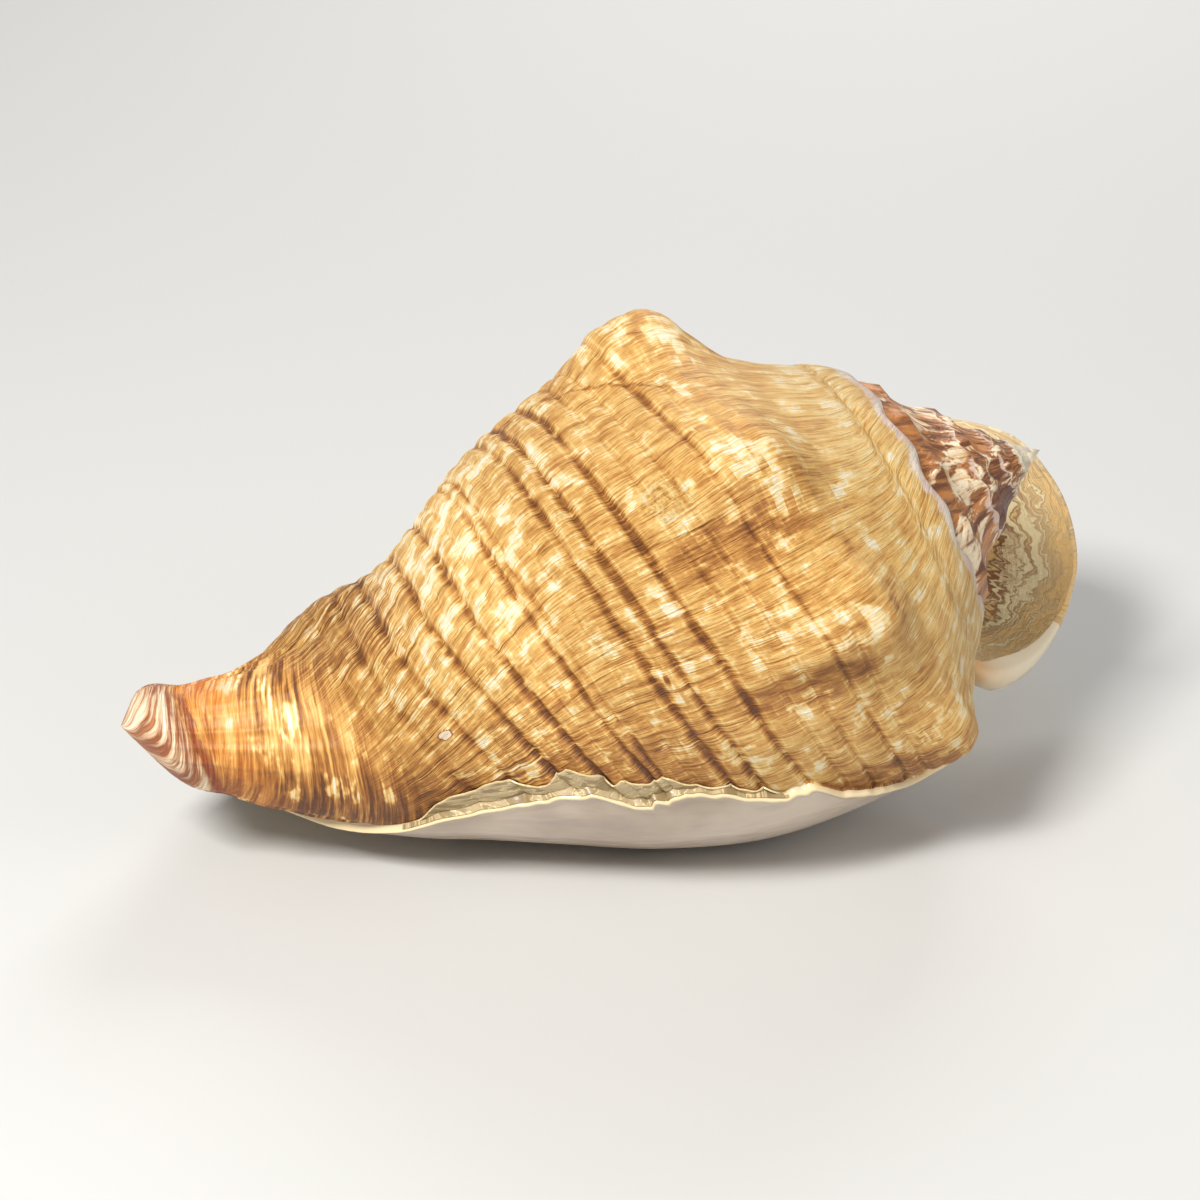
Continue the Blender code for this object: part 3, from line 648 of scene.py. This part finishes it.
def mixed(tree, factor, a, b):
    """Two colours mixed."""
    made = node(tree, "ShaderNodeMix", data_type="RGBA", clamp_factor=True)
    for key, value in ((0, factor), (6, a), (7, b)):
        if isinstance(value, bpy.types.NodeSocket):
            tree.links.new(value, made.inputs[key])
        else:
            made.inputs[key].default_value = (*value, 1.0) if key else value
    return made.outputs[2]


def srgb(r, g, b):
    """A colour given as it looks, in 0 to 255, as the light it sends back."""
    c = np.array((r, g, b), float) / 255
    return tuple(np.where(c < 0.04045, c / 12.92, ((c + 0.055) / 1.055) ** 2.4).tolist())


def new_material(name, roughness):
    """A material with its Principled node."""
    made = bpy.data.materials.new(name)
    made.use_nodes = True
    shader = made.node_tree.nodes["Principled BSDF"]
    shader.inputs["Roughness"].default_value = roughness
    return made, made.node_tree, shader


def bumped(tree, shader, height, distance):
    """Small relief on a shader."""
    made = node(tree, "ShaderNodeBump", in_Height=height, in_Strength=1.0, in_Distance=distance)
    tree.links.new(made.outputs[0], shader.inputs["Normal"])


outside_mat, t, shader = new_material("ochre_outside", 0.48)
g, row, share, turn_at, band_at = (known(t, k) for k in ("growth", "row", "share", "turn", "band"))
cut_at, high_at = known(t, "cut"), known(t, "high")


def times(a, b):
    """Product."""
    return maths(t, "MULTIPLY", a, b)


def plus(a, b):
    """Sum."""
    return maths(t, "ADD", a, b)


def swing(value, reach, size):
    """A noise value spread round nought, between plus and minus size."""
    return times(plus(step(t, value, 0.5 - reach, 0.5 + reach, False), -0.5), 2 * size)


def within(x, x_at, x_half, y, y_at, y_half):
    """1 in the middle of an oval, 0 on its border and beyond."""
    dx, dy = (times(plus(v, -m), 1 / h) for v, m, h in ((x, x_at, x_half), (y, y_at, y_half)))
    return step(t, plus(times(dx, dx), times(dy, dy)), 1.0, 0.3)


def spots(places):
    """Oval spots by turn and share, each with its strength."""
    total = 0.0
    for *oval, strength in places:
        total = plus(total, times(within(turn_at, *oval[:2], share, *oval[2:]), strength))
    return total


# turn and half width in degrees, share and half width as a share, strength
PALE_TOPS = ((103, 8, 0.26, 0.05, 0.09), (61, 8, 0.25, 0.06, 0.06), (105, 8, 0.35, 0.06, 0.045))
# folds beside the knobs: partly brown, and partly painted shade on the sides that face down, away from the
# light
BROWN_AND_SHADED_FOLDS = ((91.5, 6.5, 0.335, 0.12, -0.2), (126, 8.0, 0.33, 0.12, -0.2), (52, 11.0, 0.33, 0.15, -0.24))
# turn and share of single marks; a halt of growth leans by its slope, in degrees for a whole share
SCAR, CRACK, PIT = (140.5, 0.375), (104.0, 0.483), (107.0, 0.735)
HALT_TURN, HALT_SLOPE = 132.5, 137.0
TIP_FROM, RED_LINE_AT = 0.952, 0.949
# how far up the ramp each tone of ochre stands
OCHRES = ((0.02, (104, 58, 20)), (0.22, (164, 104, 42)), (0.42, (211, 154, 78)), (0.58, (235, 192, 113)),
          (0.74, (245, 217, 154)), (0.94, (247, 236, 210)))

# the canal's lines run round it, so it has rings in place of growth
canal = step(t, plus(share, times(plus(turn_at, -60.0), -0.0005)), 0.75, 0.83)
not_canal = maths(t, "SUBTRACT", 1.0, canal)
ring_lean = plus(0.06, times(step(t, share, 0.93, 0.98), 0.1))
rings = plus(times(share, 210.0), times(turn_at, ring_lean))


def either(on_body, on_canal):
    """One value on the whorl and another on the canal."""
    return plus(times(on_body, not_canal), times(on_canal, canal))


# growth lines, wide, narrow and as thin as hairs
towards_canal = step(t, share, 0.52, 0.68)
before_canal = maths(t, "SUBTRACT", 1.0, towards_canal)
lines_near_knobs = grain(t, spot(t, times(g, 2.1), times(row, 12)), detail=4, rough=0.7)
lines_near_canal = grain(t, spot(t, times(g, 1.25), times(row, 10), 1.0), detail=4, rough=0.7)
body_lines = plus(times(lines_near_knobs, before_canal), times(lines_near_canal, towards_canal))
lines = either(body_lines, grain(t, spot(t, rings, times(turn_at, 0.012)), detail=3, rough=0.6))
wide_lines = either(
    grain(t, spot(t, times(g, 0.42), times(row, 22), 4.0), detail=3, rough=0.6),
    grain(t, spot(t, times(rings, 0.3), times(turn_at, 0.008), 3.0), detail=3, rough=0.6))
hair = either(
    grain(t, spot(t, times(g, 4.2), times(row, 26), 3.0), detail=2, rough=0.6),
    grain(t, spot(t, times(rings, 2.4), times(turn_at, 0.03), 3.0), detail=2, rough=0.6))

# cream blocks, held between the grooves
cell = maths(t, "FLOOR", band_at)
blocks_free = grain(t, spot(t, times(g, 0.17), times(row, 30), 2.0), detail=3, rough=0.6)
blocks_band = grain(t, spot(t, times(g, 0.15), times(cell, 7.31), 5.0), detail=3, rough=0.6)
blocks_canal = grain(t, spot(t, times(rings, 0.3), times(turn_at, 0.03), 11.0), detail=3, rough=0.6)
block_noise = either(plus(times(blocks_free, 0.6), times(blocks_band, 0.4)), blocks_canal)
region = grain(t, spot(t, times(turn_at, 0.035), times(share, 7), 9.0), detail=1)
belt = times(step(t, share, 0.38, 0.5), step(t, share, 0.86, 0.74))
far_side = times(step(t, turn_at, 110, 165), step(t, turn_at, 330, 230))
favour = plus(swing(region, 0.2, 0.03), times(belt, plus(0.02, times(far_side, 0.035))))
favour = plus(plus(favour, times(step(t, high_at, 0.5, 1.0), 0.045)), spots(PALE_TOPS))
ragged = plus(plus(block_noise, swing(lines, 0.2, 0.035)), favour)
blocks = step(t, ragged, 0.54, 0.64)

# one tone, from dark to pale, that everything adds to
halt_noise = plus(grain(t, spot(t, times(g, 0.07), times(row, 1.3), 8.0), detail=2), -0.5)
halts = times(step(t, maths(t, "ABSOLUTE", halt_noise), 0.009, 0.001), not_canal)
# the low side near the glaze: browner, with stronger lines and blocks, and darkened further as painted
# shade where the side turns down
near_glaze = times(step(t, turn_at, 118, 68), step(t, share, 0.42, 0.52))
ear = times(step(t, turn_at, 130, 165), times(step(t, share, 0.68, 0.76), step(t, share, 0.93, 0.87)))
line_strength = plus(plus(0.135, times(ear, 0.12)), plus(times(near_glaze, 0.04), times(canal, 0.06)))
tone = plus(0.49, times(swing(lines, 0.13, 1.0), line_strength))
tone = plus(tone, times(swing(wide_lines, 0.2, 1.0), plus(0.12, times(ear, 0.1))))
tone = plus(tone, swing(block_noise, 0.12, 0.10))
tone = plus(tone, times(swing(hair, 0.15, 0.07), plus(1.0, times(canal, 0.4))))
block_strength = plus(plus(0.27, swing(lines, 0.2, 0.12)), times(near_glaze, 0.1))
tone = plus(tone, times(block_strength, blocks))
# pale rims along the grooves: partly their own colour, partly a painted highlight on the edges
groove_rims_pale_and_lit = times(step(t, cut_at, 0.03, 0.09), step(t, cut_at, 0.2, 0.1))
# the low side near the glaze is darkened below: partly brown, partly painted shade
for value, strength in (
        # the folds beside the knobs are darkened: brown, and painted shade
        (times(far_side, step(t, share, 0.48, 0.62)), 0.06), (spots(BROWN_AND_SHADED_FOLDS), 1.0),
        # the grooves are darkened: dark brown, deepened with painted shade in the valleys
        (near_glaze, -0.23), (halts, -0.11), (step(t, cut_at, 0.1, 0.8), -0.31),
        # pale groove rims, partly painted highlight
        (times(groove_rims_pale_and_lit, step(t, wide_lines, 0.4, 0.6)), 0.12),
        (step(t, share, 0.22, 0.12), 0.1), (ear, -0.12), (step(t, share, 0.7, 0.8), -0.11)):
    tone = plus(tone, times(value, strength))

# scar, crack and the old halt of growth
scar = within(plus(turn_at, swing(blocks_free, 0.2, 1.5)), SCAR[0], 4.5, share, SCAR[1], 0.045)
crust = grain(t, spot(t, times(turn_at, 0.6), times(share, 120)), detail=4, rough=0.75, warp=0.6)
tone = plus(tone, times(scar, plus(0.1, swing(crust, 0.15, 0.18))))
crack = within(plus(turn_at, swing(lines, 0.2, 1.0)), CRACK[0], 2.6, share, CRACK[1], 0.0035)
lean = plus(turn_at, plus(times(share, -HALT_SLOPE), swing(wide_lines, 0.2, 1.2)))
halt_ends = times(step(t, share, 0.25, 0.28), step(t, share, 0.51, 0.48))
halt = times(step(t, maths(t, "ABSOLUTE", plus(lean, -HALT_TURN)), 0.9, 0.2), halt_ends)
tone = plus(tone, plus(times(crack, -0.4), times(halt, -0.2)))

tones = node(t, "ShaderNodeValToRGB", in_Fac=tone)
ramp = tones.color_ramp
while len(ramp.elements) < len(OCHRES):
    ramp.elements.new(0.5)
for element, (at, ochre) in zip(ramp.elements, OCHRES):
    element.position = at
    element.color = (*srgb(*ochre), 1.0)
colour = tones.outputs[0]

# the orange zone, the striped tip and the red line between them
orange = times(step(t, share, 0.89, 0.925), step(t, share, 0.955, 0.944))
orange_spread = plus(times(step(t, turn_at, 135, 165), 0.45), times(step(t, blocks_canal, 0.5, 0.4), 0.35))
orange = times(orange, plus(0.4, orange_spread))
orange_lines = mixed(t, step(t, lines, 0.4, 0.6), srgb(190, 104, 34), srgb(234, 158, 70))
colour = mixed(t, orange, colour, orange_lines)
tip_lines = grain(t, spot(t, times(rings, 0.42), times(turn_at, 0.01), 15.0), detail=3, rough=0.65)
stripes = mixed(t, step(t, tip_lines, 0.45, 0.6), srgb(150, 84, 48), srgb(238, 208, 170))
stripes = mixed(t, times(step(t, lines, 0.5, 0.62), 0.45), stripes, srgb(214, 150, 96))
stripes = mixed(t, times(step(t, tip_lines, 0.58, 0.66), 0.8), stripes, srgb(250, 238, 218))
colour = mixed(t, step(t, share, TIP_FROM - 0.004, TIP_FROM + 0.004), colour, stripes)
line_at = plus(plus(share, swing(blocks_canal, 0.2, 0.004)), -RED_LINE_AT)
red_line = times(step(t, line_at, -0.0085, -0.0035), step(t, line_at, 0.0035, -0.0015))
colour = mixed(t, times(times(red_line, step(t, turn_at, 190, 160)), 0.8), colour, srgb(138, 52, 28))

# the lobe beside the spire, with zigzag waves
lobe = times(step(t, turn_at, 285, 305), step(t, share, 0.36, 0.24))
zigzag = grain(t, spot(t, times(row, 55), times(turn_at, 0.05), 2.0), detail=3, rough=0.6)
bent_turn = plus(turn_at, swing(zigzag, 0.2, 5.0))
waves = grain(t, spot(t, times(bent_turn, 0.26), times(row, 5), 6.0), detail=3, rough=0.5)
crests = step(t, maths(t, "ABSOLUTE", plus(waves, -0.5)), 0.075, 0.015)
crests = times(crests, plus(0.3, times(step(t, turn_at, 342, 322), 0.6)))
beige = mixed(t, step(t, waves, 0.38, 0.62), srgb(244, 200, 130), srgb(254, 234, 184))
beige = mixed(t, crests, beige, srgb(134, 74, 28))
beige = mixed(t, times(step(t, turn_at, 322, 304), step(t, waves, 0.5, 0.6)), beige, srgb(186, 122, 56))
colour = mixed(t, lobe, colour, beige)

# the pale seam along the suture, and the pit
seam_edge = plus(share, plus(swing(wide_lines, 0.25, 0.006), swing(region, 0.2, 0.008)))
seam = times(step(t, seam_edge, 0.022, 0.017), step(t, turn_at, 330, 300))
pearl = mixed(t, step(t, blocks_free, 0.45, 0.6), srgb(232, 208, 198), srgb(250, 238, 226))
colour = mixed(t, times(seam, 0.85), colour, pearl)
pit = within(plus(turn_at, swing(lines, 0.2, 0.7)), PIT[0], 2.4, share, PIT[1], 0.0095)
pit_colour = mixed(t, step(t, pit, 0.55, 0.9), srgb(140, 70, 38), srgb(240, 218, 188))
colour = mixed(t, step(t, pit, 0.0, 0.3), colour, pit_colour)
t.links.new(colour, shader.inputs["Base Color"])
ups = plus(plus(lines, wide_lines), plus(times(halts, -0.3), times(scar, times(crust, 1.5))))
bumped(t, shader, plus(ups, times(waves, times(lobe, 3.0))), 0.0011)

spire_mat, t, shader = new_material("brown_spire", 0.4)
turn_at, row = known(t, "turn"), known(t, "row")
streaks = grain(t, spot(t, times(turn_at, 0.2), times(row, 1.8), 3.0), detail=4, rough=0.65, warp=0.7)
patches = grain(t, spot(t, times(turn_at, 0.045), times(row, 1.7), 1.0), detail=4, rough=0.62, warp=1.3)
colour = mixed(t, step(t, streaks, 0.36, 0.62), srgb(112, 64, 34), srgb(204, 134, 70))
colour = mixed(t, step(t, plus(patches, swing(streaks, 0.25, 0.07)), 0.52, 0.60), colour,
               mixed(t, step(t, streaks, 0.4, 0.55), srgb(228, 182, 128), srgb(250, 232, 198)))
purple = times(step(t, turn_at, -960, -860), step(t, turn_at, -560, -660))
colour = mixed(t, times(purple, times(step(t, patches, 0.62, 0.56), 0.8)), colour, srgb(84, 50, 48))
colour = mixed(t, step(t, turn_at, -980, -1080), colour, srgb(240, 226, 200))
pale_seam = step(t, plus(row, swing(patches, 0.2, 0.12)), 0.06, 0.0)
colour = mixed(t, times(pale_seam, 0.7), colour, srgb(236, 214, 200))
t.links.new(colour, shader.inputs["Base Color"])
bumped(t, shader, plus(streaks, patches), 0.0012)

mouth_mat, t, shader = new_material("glazed_mouth", 0.2)
turn_at, row, rim_at, inside_at = (known(t, k) for k in ("turn", "row", "rim", "inside"))
where = node(t, "ShaderNodeTexCoord").outputs["Object"]
cloud = grain(t, where, scale=28, detail=3)
smear = grain(t, spot(t, times(turn_at, 0.12), times(row, 9)), detail=3, rough=0.6)
# the glaze outside the mouth faces down to the floor: its off-white grey-lilac is painted darker, as
# painted shade
colour = mixed(t, step(t, cloud, 0.35, 0.65), srgb(188, 170, 152), srgb(214, 198, 180))
colour = mixed(t, times(step(t, smear, 0.5, 0.7), 0.4), colour, srgb(176, 158, 158))
deep = plus(times(step(t, turn_at, 335, 190), step(t, turn_at, 0, 20)), step(t, turn_at, -20, -170))
peach = mixed(t, step(t, deep, 0.3, 1.0), srgb(240, 206, 160), srgb(226, 146, 84))
lining = mixed(t, step(t, deep, 0.0, 0.6), srgb(244, 228, 198), peach)
roll = times(step(t, turn_at, 318, 335), step(t, row, 0.125, 0.10))
tan_edge = step(t, plus(row, swing(cloud, 0.25, 0.012)), 0.012, 0.05)
tan = mixed(t, tan_edge, srgb(226, 172, 106), srgb(248, 232, 200))
lining = mixed(t, roll, lining, tan)
colour = mixed(t, inside_at, colour, lining)
colour = mixed(t, times(rim_at, 0.9), colour, srgb(244, 222, 172))
t.links.new(colour, shader.inputs["Base Color"])
bumped(t, shader, plus(smear, cloud), 0.0006)

for made in (outside_mat, spire_mat, mouth_mat):
    mesh.materials.append(made)

# Growth relief on the skin: low cords between the grooves and lines left by growth.
# Made of the same shell. Geometry nodes push the bare outside along its normal, and the
# result is kept as a plain mesh.


def geometry_tree(name, inputs):
    """A geometry tree with named inputs; gives the tree, its input node and the sockets' identifiers."""
    tree = bpy.data.node_groups.new(name, "GeometryNodeTree")
    tree.interface.new_socket("Geometry", in_out="INPUT", socket_type="NodeSocketGeometry")
    tree.interface.new_socket("Geometry", in_out="OUTPUT", socket_type="NodeSocketGeometry")
    pins = {}
    for label, value in inputs.items():
        pin = tree.interface.new_socket(label, in_out="INPUT", socket_type="NodeSocketFloat")
        pin.default_value = value
        pins[label] = pin.identifier
    return tree, node(tree, "NodeGroupInput"), pins


def stored(tree, name):
    """A number that the mesh stores at its points."""
    reader = node(tree, "GeometryNodeInputNamedAttribute", data_type="FLOAT")
    reader.inputs["Name"].default_value = name
    return reader.outputs["Attribute"]


def pushed(tree, geometry, distance):
    """Geometry moved along its normal."""
    normal_in = node(tree, "GeometryNodeInputNormal")
    offset = node(tree, "ShaderNodeVectorMath", operation="SCALE", in_0=normal_in.outputs[0],
                  in_Scale=distance)
    moved = node(tree, "GeometryNodeSetPosition", in_Geometry=geometry, in_Offset=offset.outputs[0])
    return moved.outputs[0]


def kept(thing, tree, pins, values):
    """The thing with a geometry tree applied once, as a plain mesh."""
    modifier = thing.modifiers.new(tree.name, "NODES")
    modifier.node_group = tree
    for label, value in values.items():
        modifier[pins[label]] = value
    ready = thing.evaluated_get(bpy.context.evaluated_depsgraph_get())
    made = bpy.data.meshes.new_from_object(ready)
    thing.modifiers.remove(modifier)
    made.name = thing.data.name
    thing.data = made


relief_values = {"Line height": 0.00045, "Lines per degree": 0.42, "Cord height": 0.0004, "Seed": 12.0}
relief_tree, given, pins = geometry_tree("growth_relief", relief_values)
here = {key: stored(relief_tree, key) for key in ("bare", "growth_here", "band_here")}


def joined(kind, a, b=0.0):
    """Math in the relief's tree."""
    return maths(relief_tree, kind, a, b)


across = joined("MULTIPLY", here["growth_here"], given.outputs["Lines per degree"])
along = joined("MULTIPLY", here["band_here"], 0.35)
wave_at = spot(relief_tree, across, along, given.outputs["Seed"])
waving = node(relief_tree, "ShaderNodeTexNoise", in_Vector=wave_at, in_Scale=1.0, in_Detail=2.0,
              in_Roughness=0.6)
waving = joined("MULTIPLY", joined("SUBTRACT", waving.outputs["Fac"], 0.5), given.outputs["Line height"])
arch = joined("ABSOLUTE", joined("SINE", joined("MULTIPLY", here["band_here"], np.pi / 2)))
arch = joined("MULTIPLY", joined("SUBTRACT", arch, 0.6), given.outputs["Cord height"])
push = joined("MULTIPLY", joined("ADD", waving, arch), here["bare"])
moved = pushed(relief_tree, given.outputs["Geometry"], push)
real = node(relief_tree, "GeometryNodeRealizeInstances", in_Geometry=moved)
index = node(relief_tree, "GeometryNodeInputMaterialIndex")
is_outside = node(relief_tree, "FunctionNodeCompare", data_type="INT", operation="EQUAL",
                  in_2=index.outputs[0], in_3=OUTSIDE)
painted = node(relief_tree, "GeometryNodeSetMaterial", in_Geometry=real.outputs[0],
               in_Selection=is_outside.outputs[0], in_Material=outside_mat)
node(relief_tree, "NodeGroupOutput", in_Geometry=painted.outputs[0])
kept(shell, relief_tree, pins, relief_values)

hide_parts("shell")
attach(shell, "root")

# Flakes along the edge of the glaze.
# Thin plates of grey-green glaze that lie on the ochre just beyond the rim. A strip on the
# skin is thickened by geometry nodes; it rides with the shell.
FLAKE_SHARE = (0.46, 0.48, 0.52, 0.55, 0.575, 0.60, 0.635, 0.65, 0.66, 0.685, 0.71, 0.73, 0.75, 0.76,
               0.78, 0.80, 0.82, 0.83, 0.845)
FLAKE_DEG = (63, 66, 71, 75, 77, 79, 79, 77, 83, 87, 83, 79, 83, 85, 82, 82, 77, 68, 60)
FLAKES_FROM, FLAKES_TO, FLAKE_GAP = 0.465, 0.838, 0.1
flake_rows = np.linspace(FLAKES_FROM, FLAKES_TO, 220)
start_deg = glaze_edge(flake_rows) + FLAKE_GAP
ends = np.interp(flake_rows, FLAKE_SHARE, FLAKE_DEG) + 1.1 * wander(flake_rows * 75, 14)
taper = ease(FLAKES_FROM, FLAKES_FROM + 0.02, flake_rows) * (1 - ease(0.79, FLAKES_TO, flake_rows))
taper = taper * (0.75 + 0.25 * wander(flake_rows * 33, 15))
ends = start_deg + np.maximum(ends - start_deg, 1.2) * (0.05 + 0.95 * taper)
reach = np.linspace(0, 1, 9)
flake_degs = start_deg + (ends - start_deg) * reach[:, None]
flake_grid = outer(flake_degs, flake_rows[None]) + FLAKE_GAP * facing(flake_degs, flake_rows[None])
flake_grid[..., 2] = np.maximum(flake_grid[..., 2] - FLOOR_CUT, 0.0)
flake_grid[..., :2] -= MIDDLE
strips, steps_along = flake_degs.shape
numbers = np.arange(strips * steps_along).reshape(strips, steps_along)
quads = np.stack([numbers[:-1, :-1], numbers[1:, :-1], numbers[1:, 1:], numbers[:-1, 1:]], -1)
flake_mesh = bpy.data.meshes.new("glaze_flakes")
flake_mesh.from_pydata((flake_grid.reshape(-1, 3) * 0.001).tolist(), [], quads.reshape(-1, 4).tolist())
for name, values in (("reach", np.repeat(reach, steps_along)), ("row", np.tile(flake_rows, strips)),
                     ("turn", flake_degs.ravel())):
    layer = flake_mesh.attributes.new(name, "FLOAT", "POINT")
    layer.data.foreach_set("value", values.astype(np.float32))
flakes = bpy.data.objects.new("glaze_flakes", flake_mesh)
bpy.context.scene.collection.objects.link(flakes)

flake_mat, t, shader = new_material("glaze_flakes", 0.35)
reach_at, row, turn_at = known(t, "reach"), known(t, "row"), known(t, "turn")
plates = grain(t, spot(t, times(turn_at, 0.4), times(row, 34)), detail=3, rough=0.55)
plate_borders = step(t, maths(t, "ABSOLUTE", plus(plates, -0.5)), 0.018, 0.004)
outline = plus(plate_borders, step(t, reach_at, 0.9, 0.98))
colour = mixed(t, step(t, plates, 0.4, 0.6), srgb(150, 128, 92), srgb(190, 170, 132))
colour = mixed(t, times(outline, 0.7), colour, srgb(236, 214, 162))
t.links.new(colour, shader.inputs["Base Color"])
bumped(t, shader, plates, 0.0008)

flake_values = {"Thickness": 0.0005, "Lift": 0.0007, "Seed": 3.0}
flake_tree, given, pins = geometry_tree("flake_sheet", flake_values)
curls_along = maths(flake_tree, "MULTIPLY", stored(flake_tree, "row"), 60.0)
curl_at = spot(flake_tree, curls_along, 0.0, given.outputs["Seed"])
curl = node(flake_tree, "ShaderNodeTexNoise", in_Scale=1.0, in_Detail=2.0, in_Vector=curl_at)
lift = maths(flake_tree, "MULTIPLY", stored(flake_tree, "reach"), curl.outputs["Fac"])
lift = maths(flake_tree, "MULTIPLY", lift, given.outputs["Lift"])
moved = pushed(flake_tree, given.outputs["Geometry"], lift)
thick_sheet = node(flake_tree, "GeometryNodeExtrudeMesh", mode="FACES", in_Mesh=moved,
                   in_Offset_Scale=given.outputs["Thickness"], in_Individual=False)
underside = node(flake_tree, "GeometryNodeFlipFaces", in_Mesh=moved)
both = node(flake_tree, "GeometryNodeJoinGeometry")
for part_of in (thick_sheet.outputs[0], underside.outputs[0]):
    flake_tree.links.new(part_of, both.inputs[0])
welded = node(flake_tree, "GeometryNodeMergeByDistance", in_Geometry=both.outputs[0], in_Distance=0.00001)
real = node(flake_tree, "GeometryNodeRealizeInstances", in_Geometry=welded.outputs[0])
painted = node(flake_tree, "GeometryNodeSetMaterial", in_Geometry=real.outputs[0], in_Material=flake_mat)
node(flake_tree, "NodeGroupOutput", in_Geometry=painted.outputs[0])
kept(flakes, flake_tree, pins, flake_values)
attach(flakes, "root")

# The studio floor and lights.
# A plain pale floor that the shell lies on, a soft key light from the left, a weak fill from
# the right, a light from behind, and a pale world.
SHELL_MIDDLE = (0.0, 0.0, 0.06)
FLOOR_HALF = 4

floor_mesh = bpy.data.meshes.new("floor")
floor_corners = [(x * FLOOR_HALF, y * FLOOR_HALF, 0) for x, y in ((-1, -1), (1, -1), (1, 1), (-1, 1))]
floor_mesh.from_pydata(floor_corners, [], [(0, 1, 2, 3)])
floor = bpy.data.objects.new("floor", floor_mesh)
bpy.context.scene.collection.objects.link(floor)
floor_mat, t, shader = new_material("floor", 0.8)
shader.inputs["Base Color"].default_value = (*srgb(206, 206, 204), 1.0)
floor_mesh.materials.append(floor_mat)


def softbox(name, place, size, power, colour):
    """A square lamp aimed at the shell."""
    data = bpy.data.lights.new(name, "AREA")
    data.size = size
    data.energy = power
    data.color = colour
    lamp = bpy.data.objects.new(name, data)
    bpy.context.scene.collection.objects.link(lamp)
    place = np.array(place, float)
    look = unit(place - np.array(SHELL_MIDDLE))
    side = unit(np.cross([0.0, 0.0, 1.0], look))
    lamp.matrix_world = stood(side, np.cross(look, side), look, place)


softbox("key", (-0.9, -0.75, 1.3), 0.45, 34, (1.0, 0.98, 0.95))
softbox("fill", (1.2, -1.0, 0.8), 1.0, 6, (1.0, 0.98, 0.96))
softbox("rim", (0.6, 1.3, 1.0), 0.8, 12, (1.0, 1.0, 1.0))
world = bpy.data.worlds.new("studio")
bpy.context.scene.world = world
world.use_nodes = True
background = world.node_tree.nodes["Background"]
background.inputs["Color"].default_value = (0.87, 0.86, 0.85, 1.0)
background.inputs["Strength"].default_value = 0.34
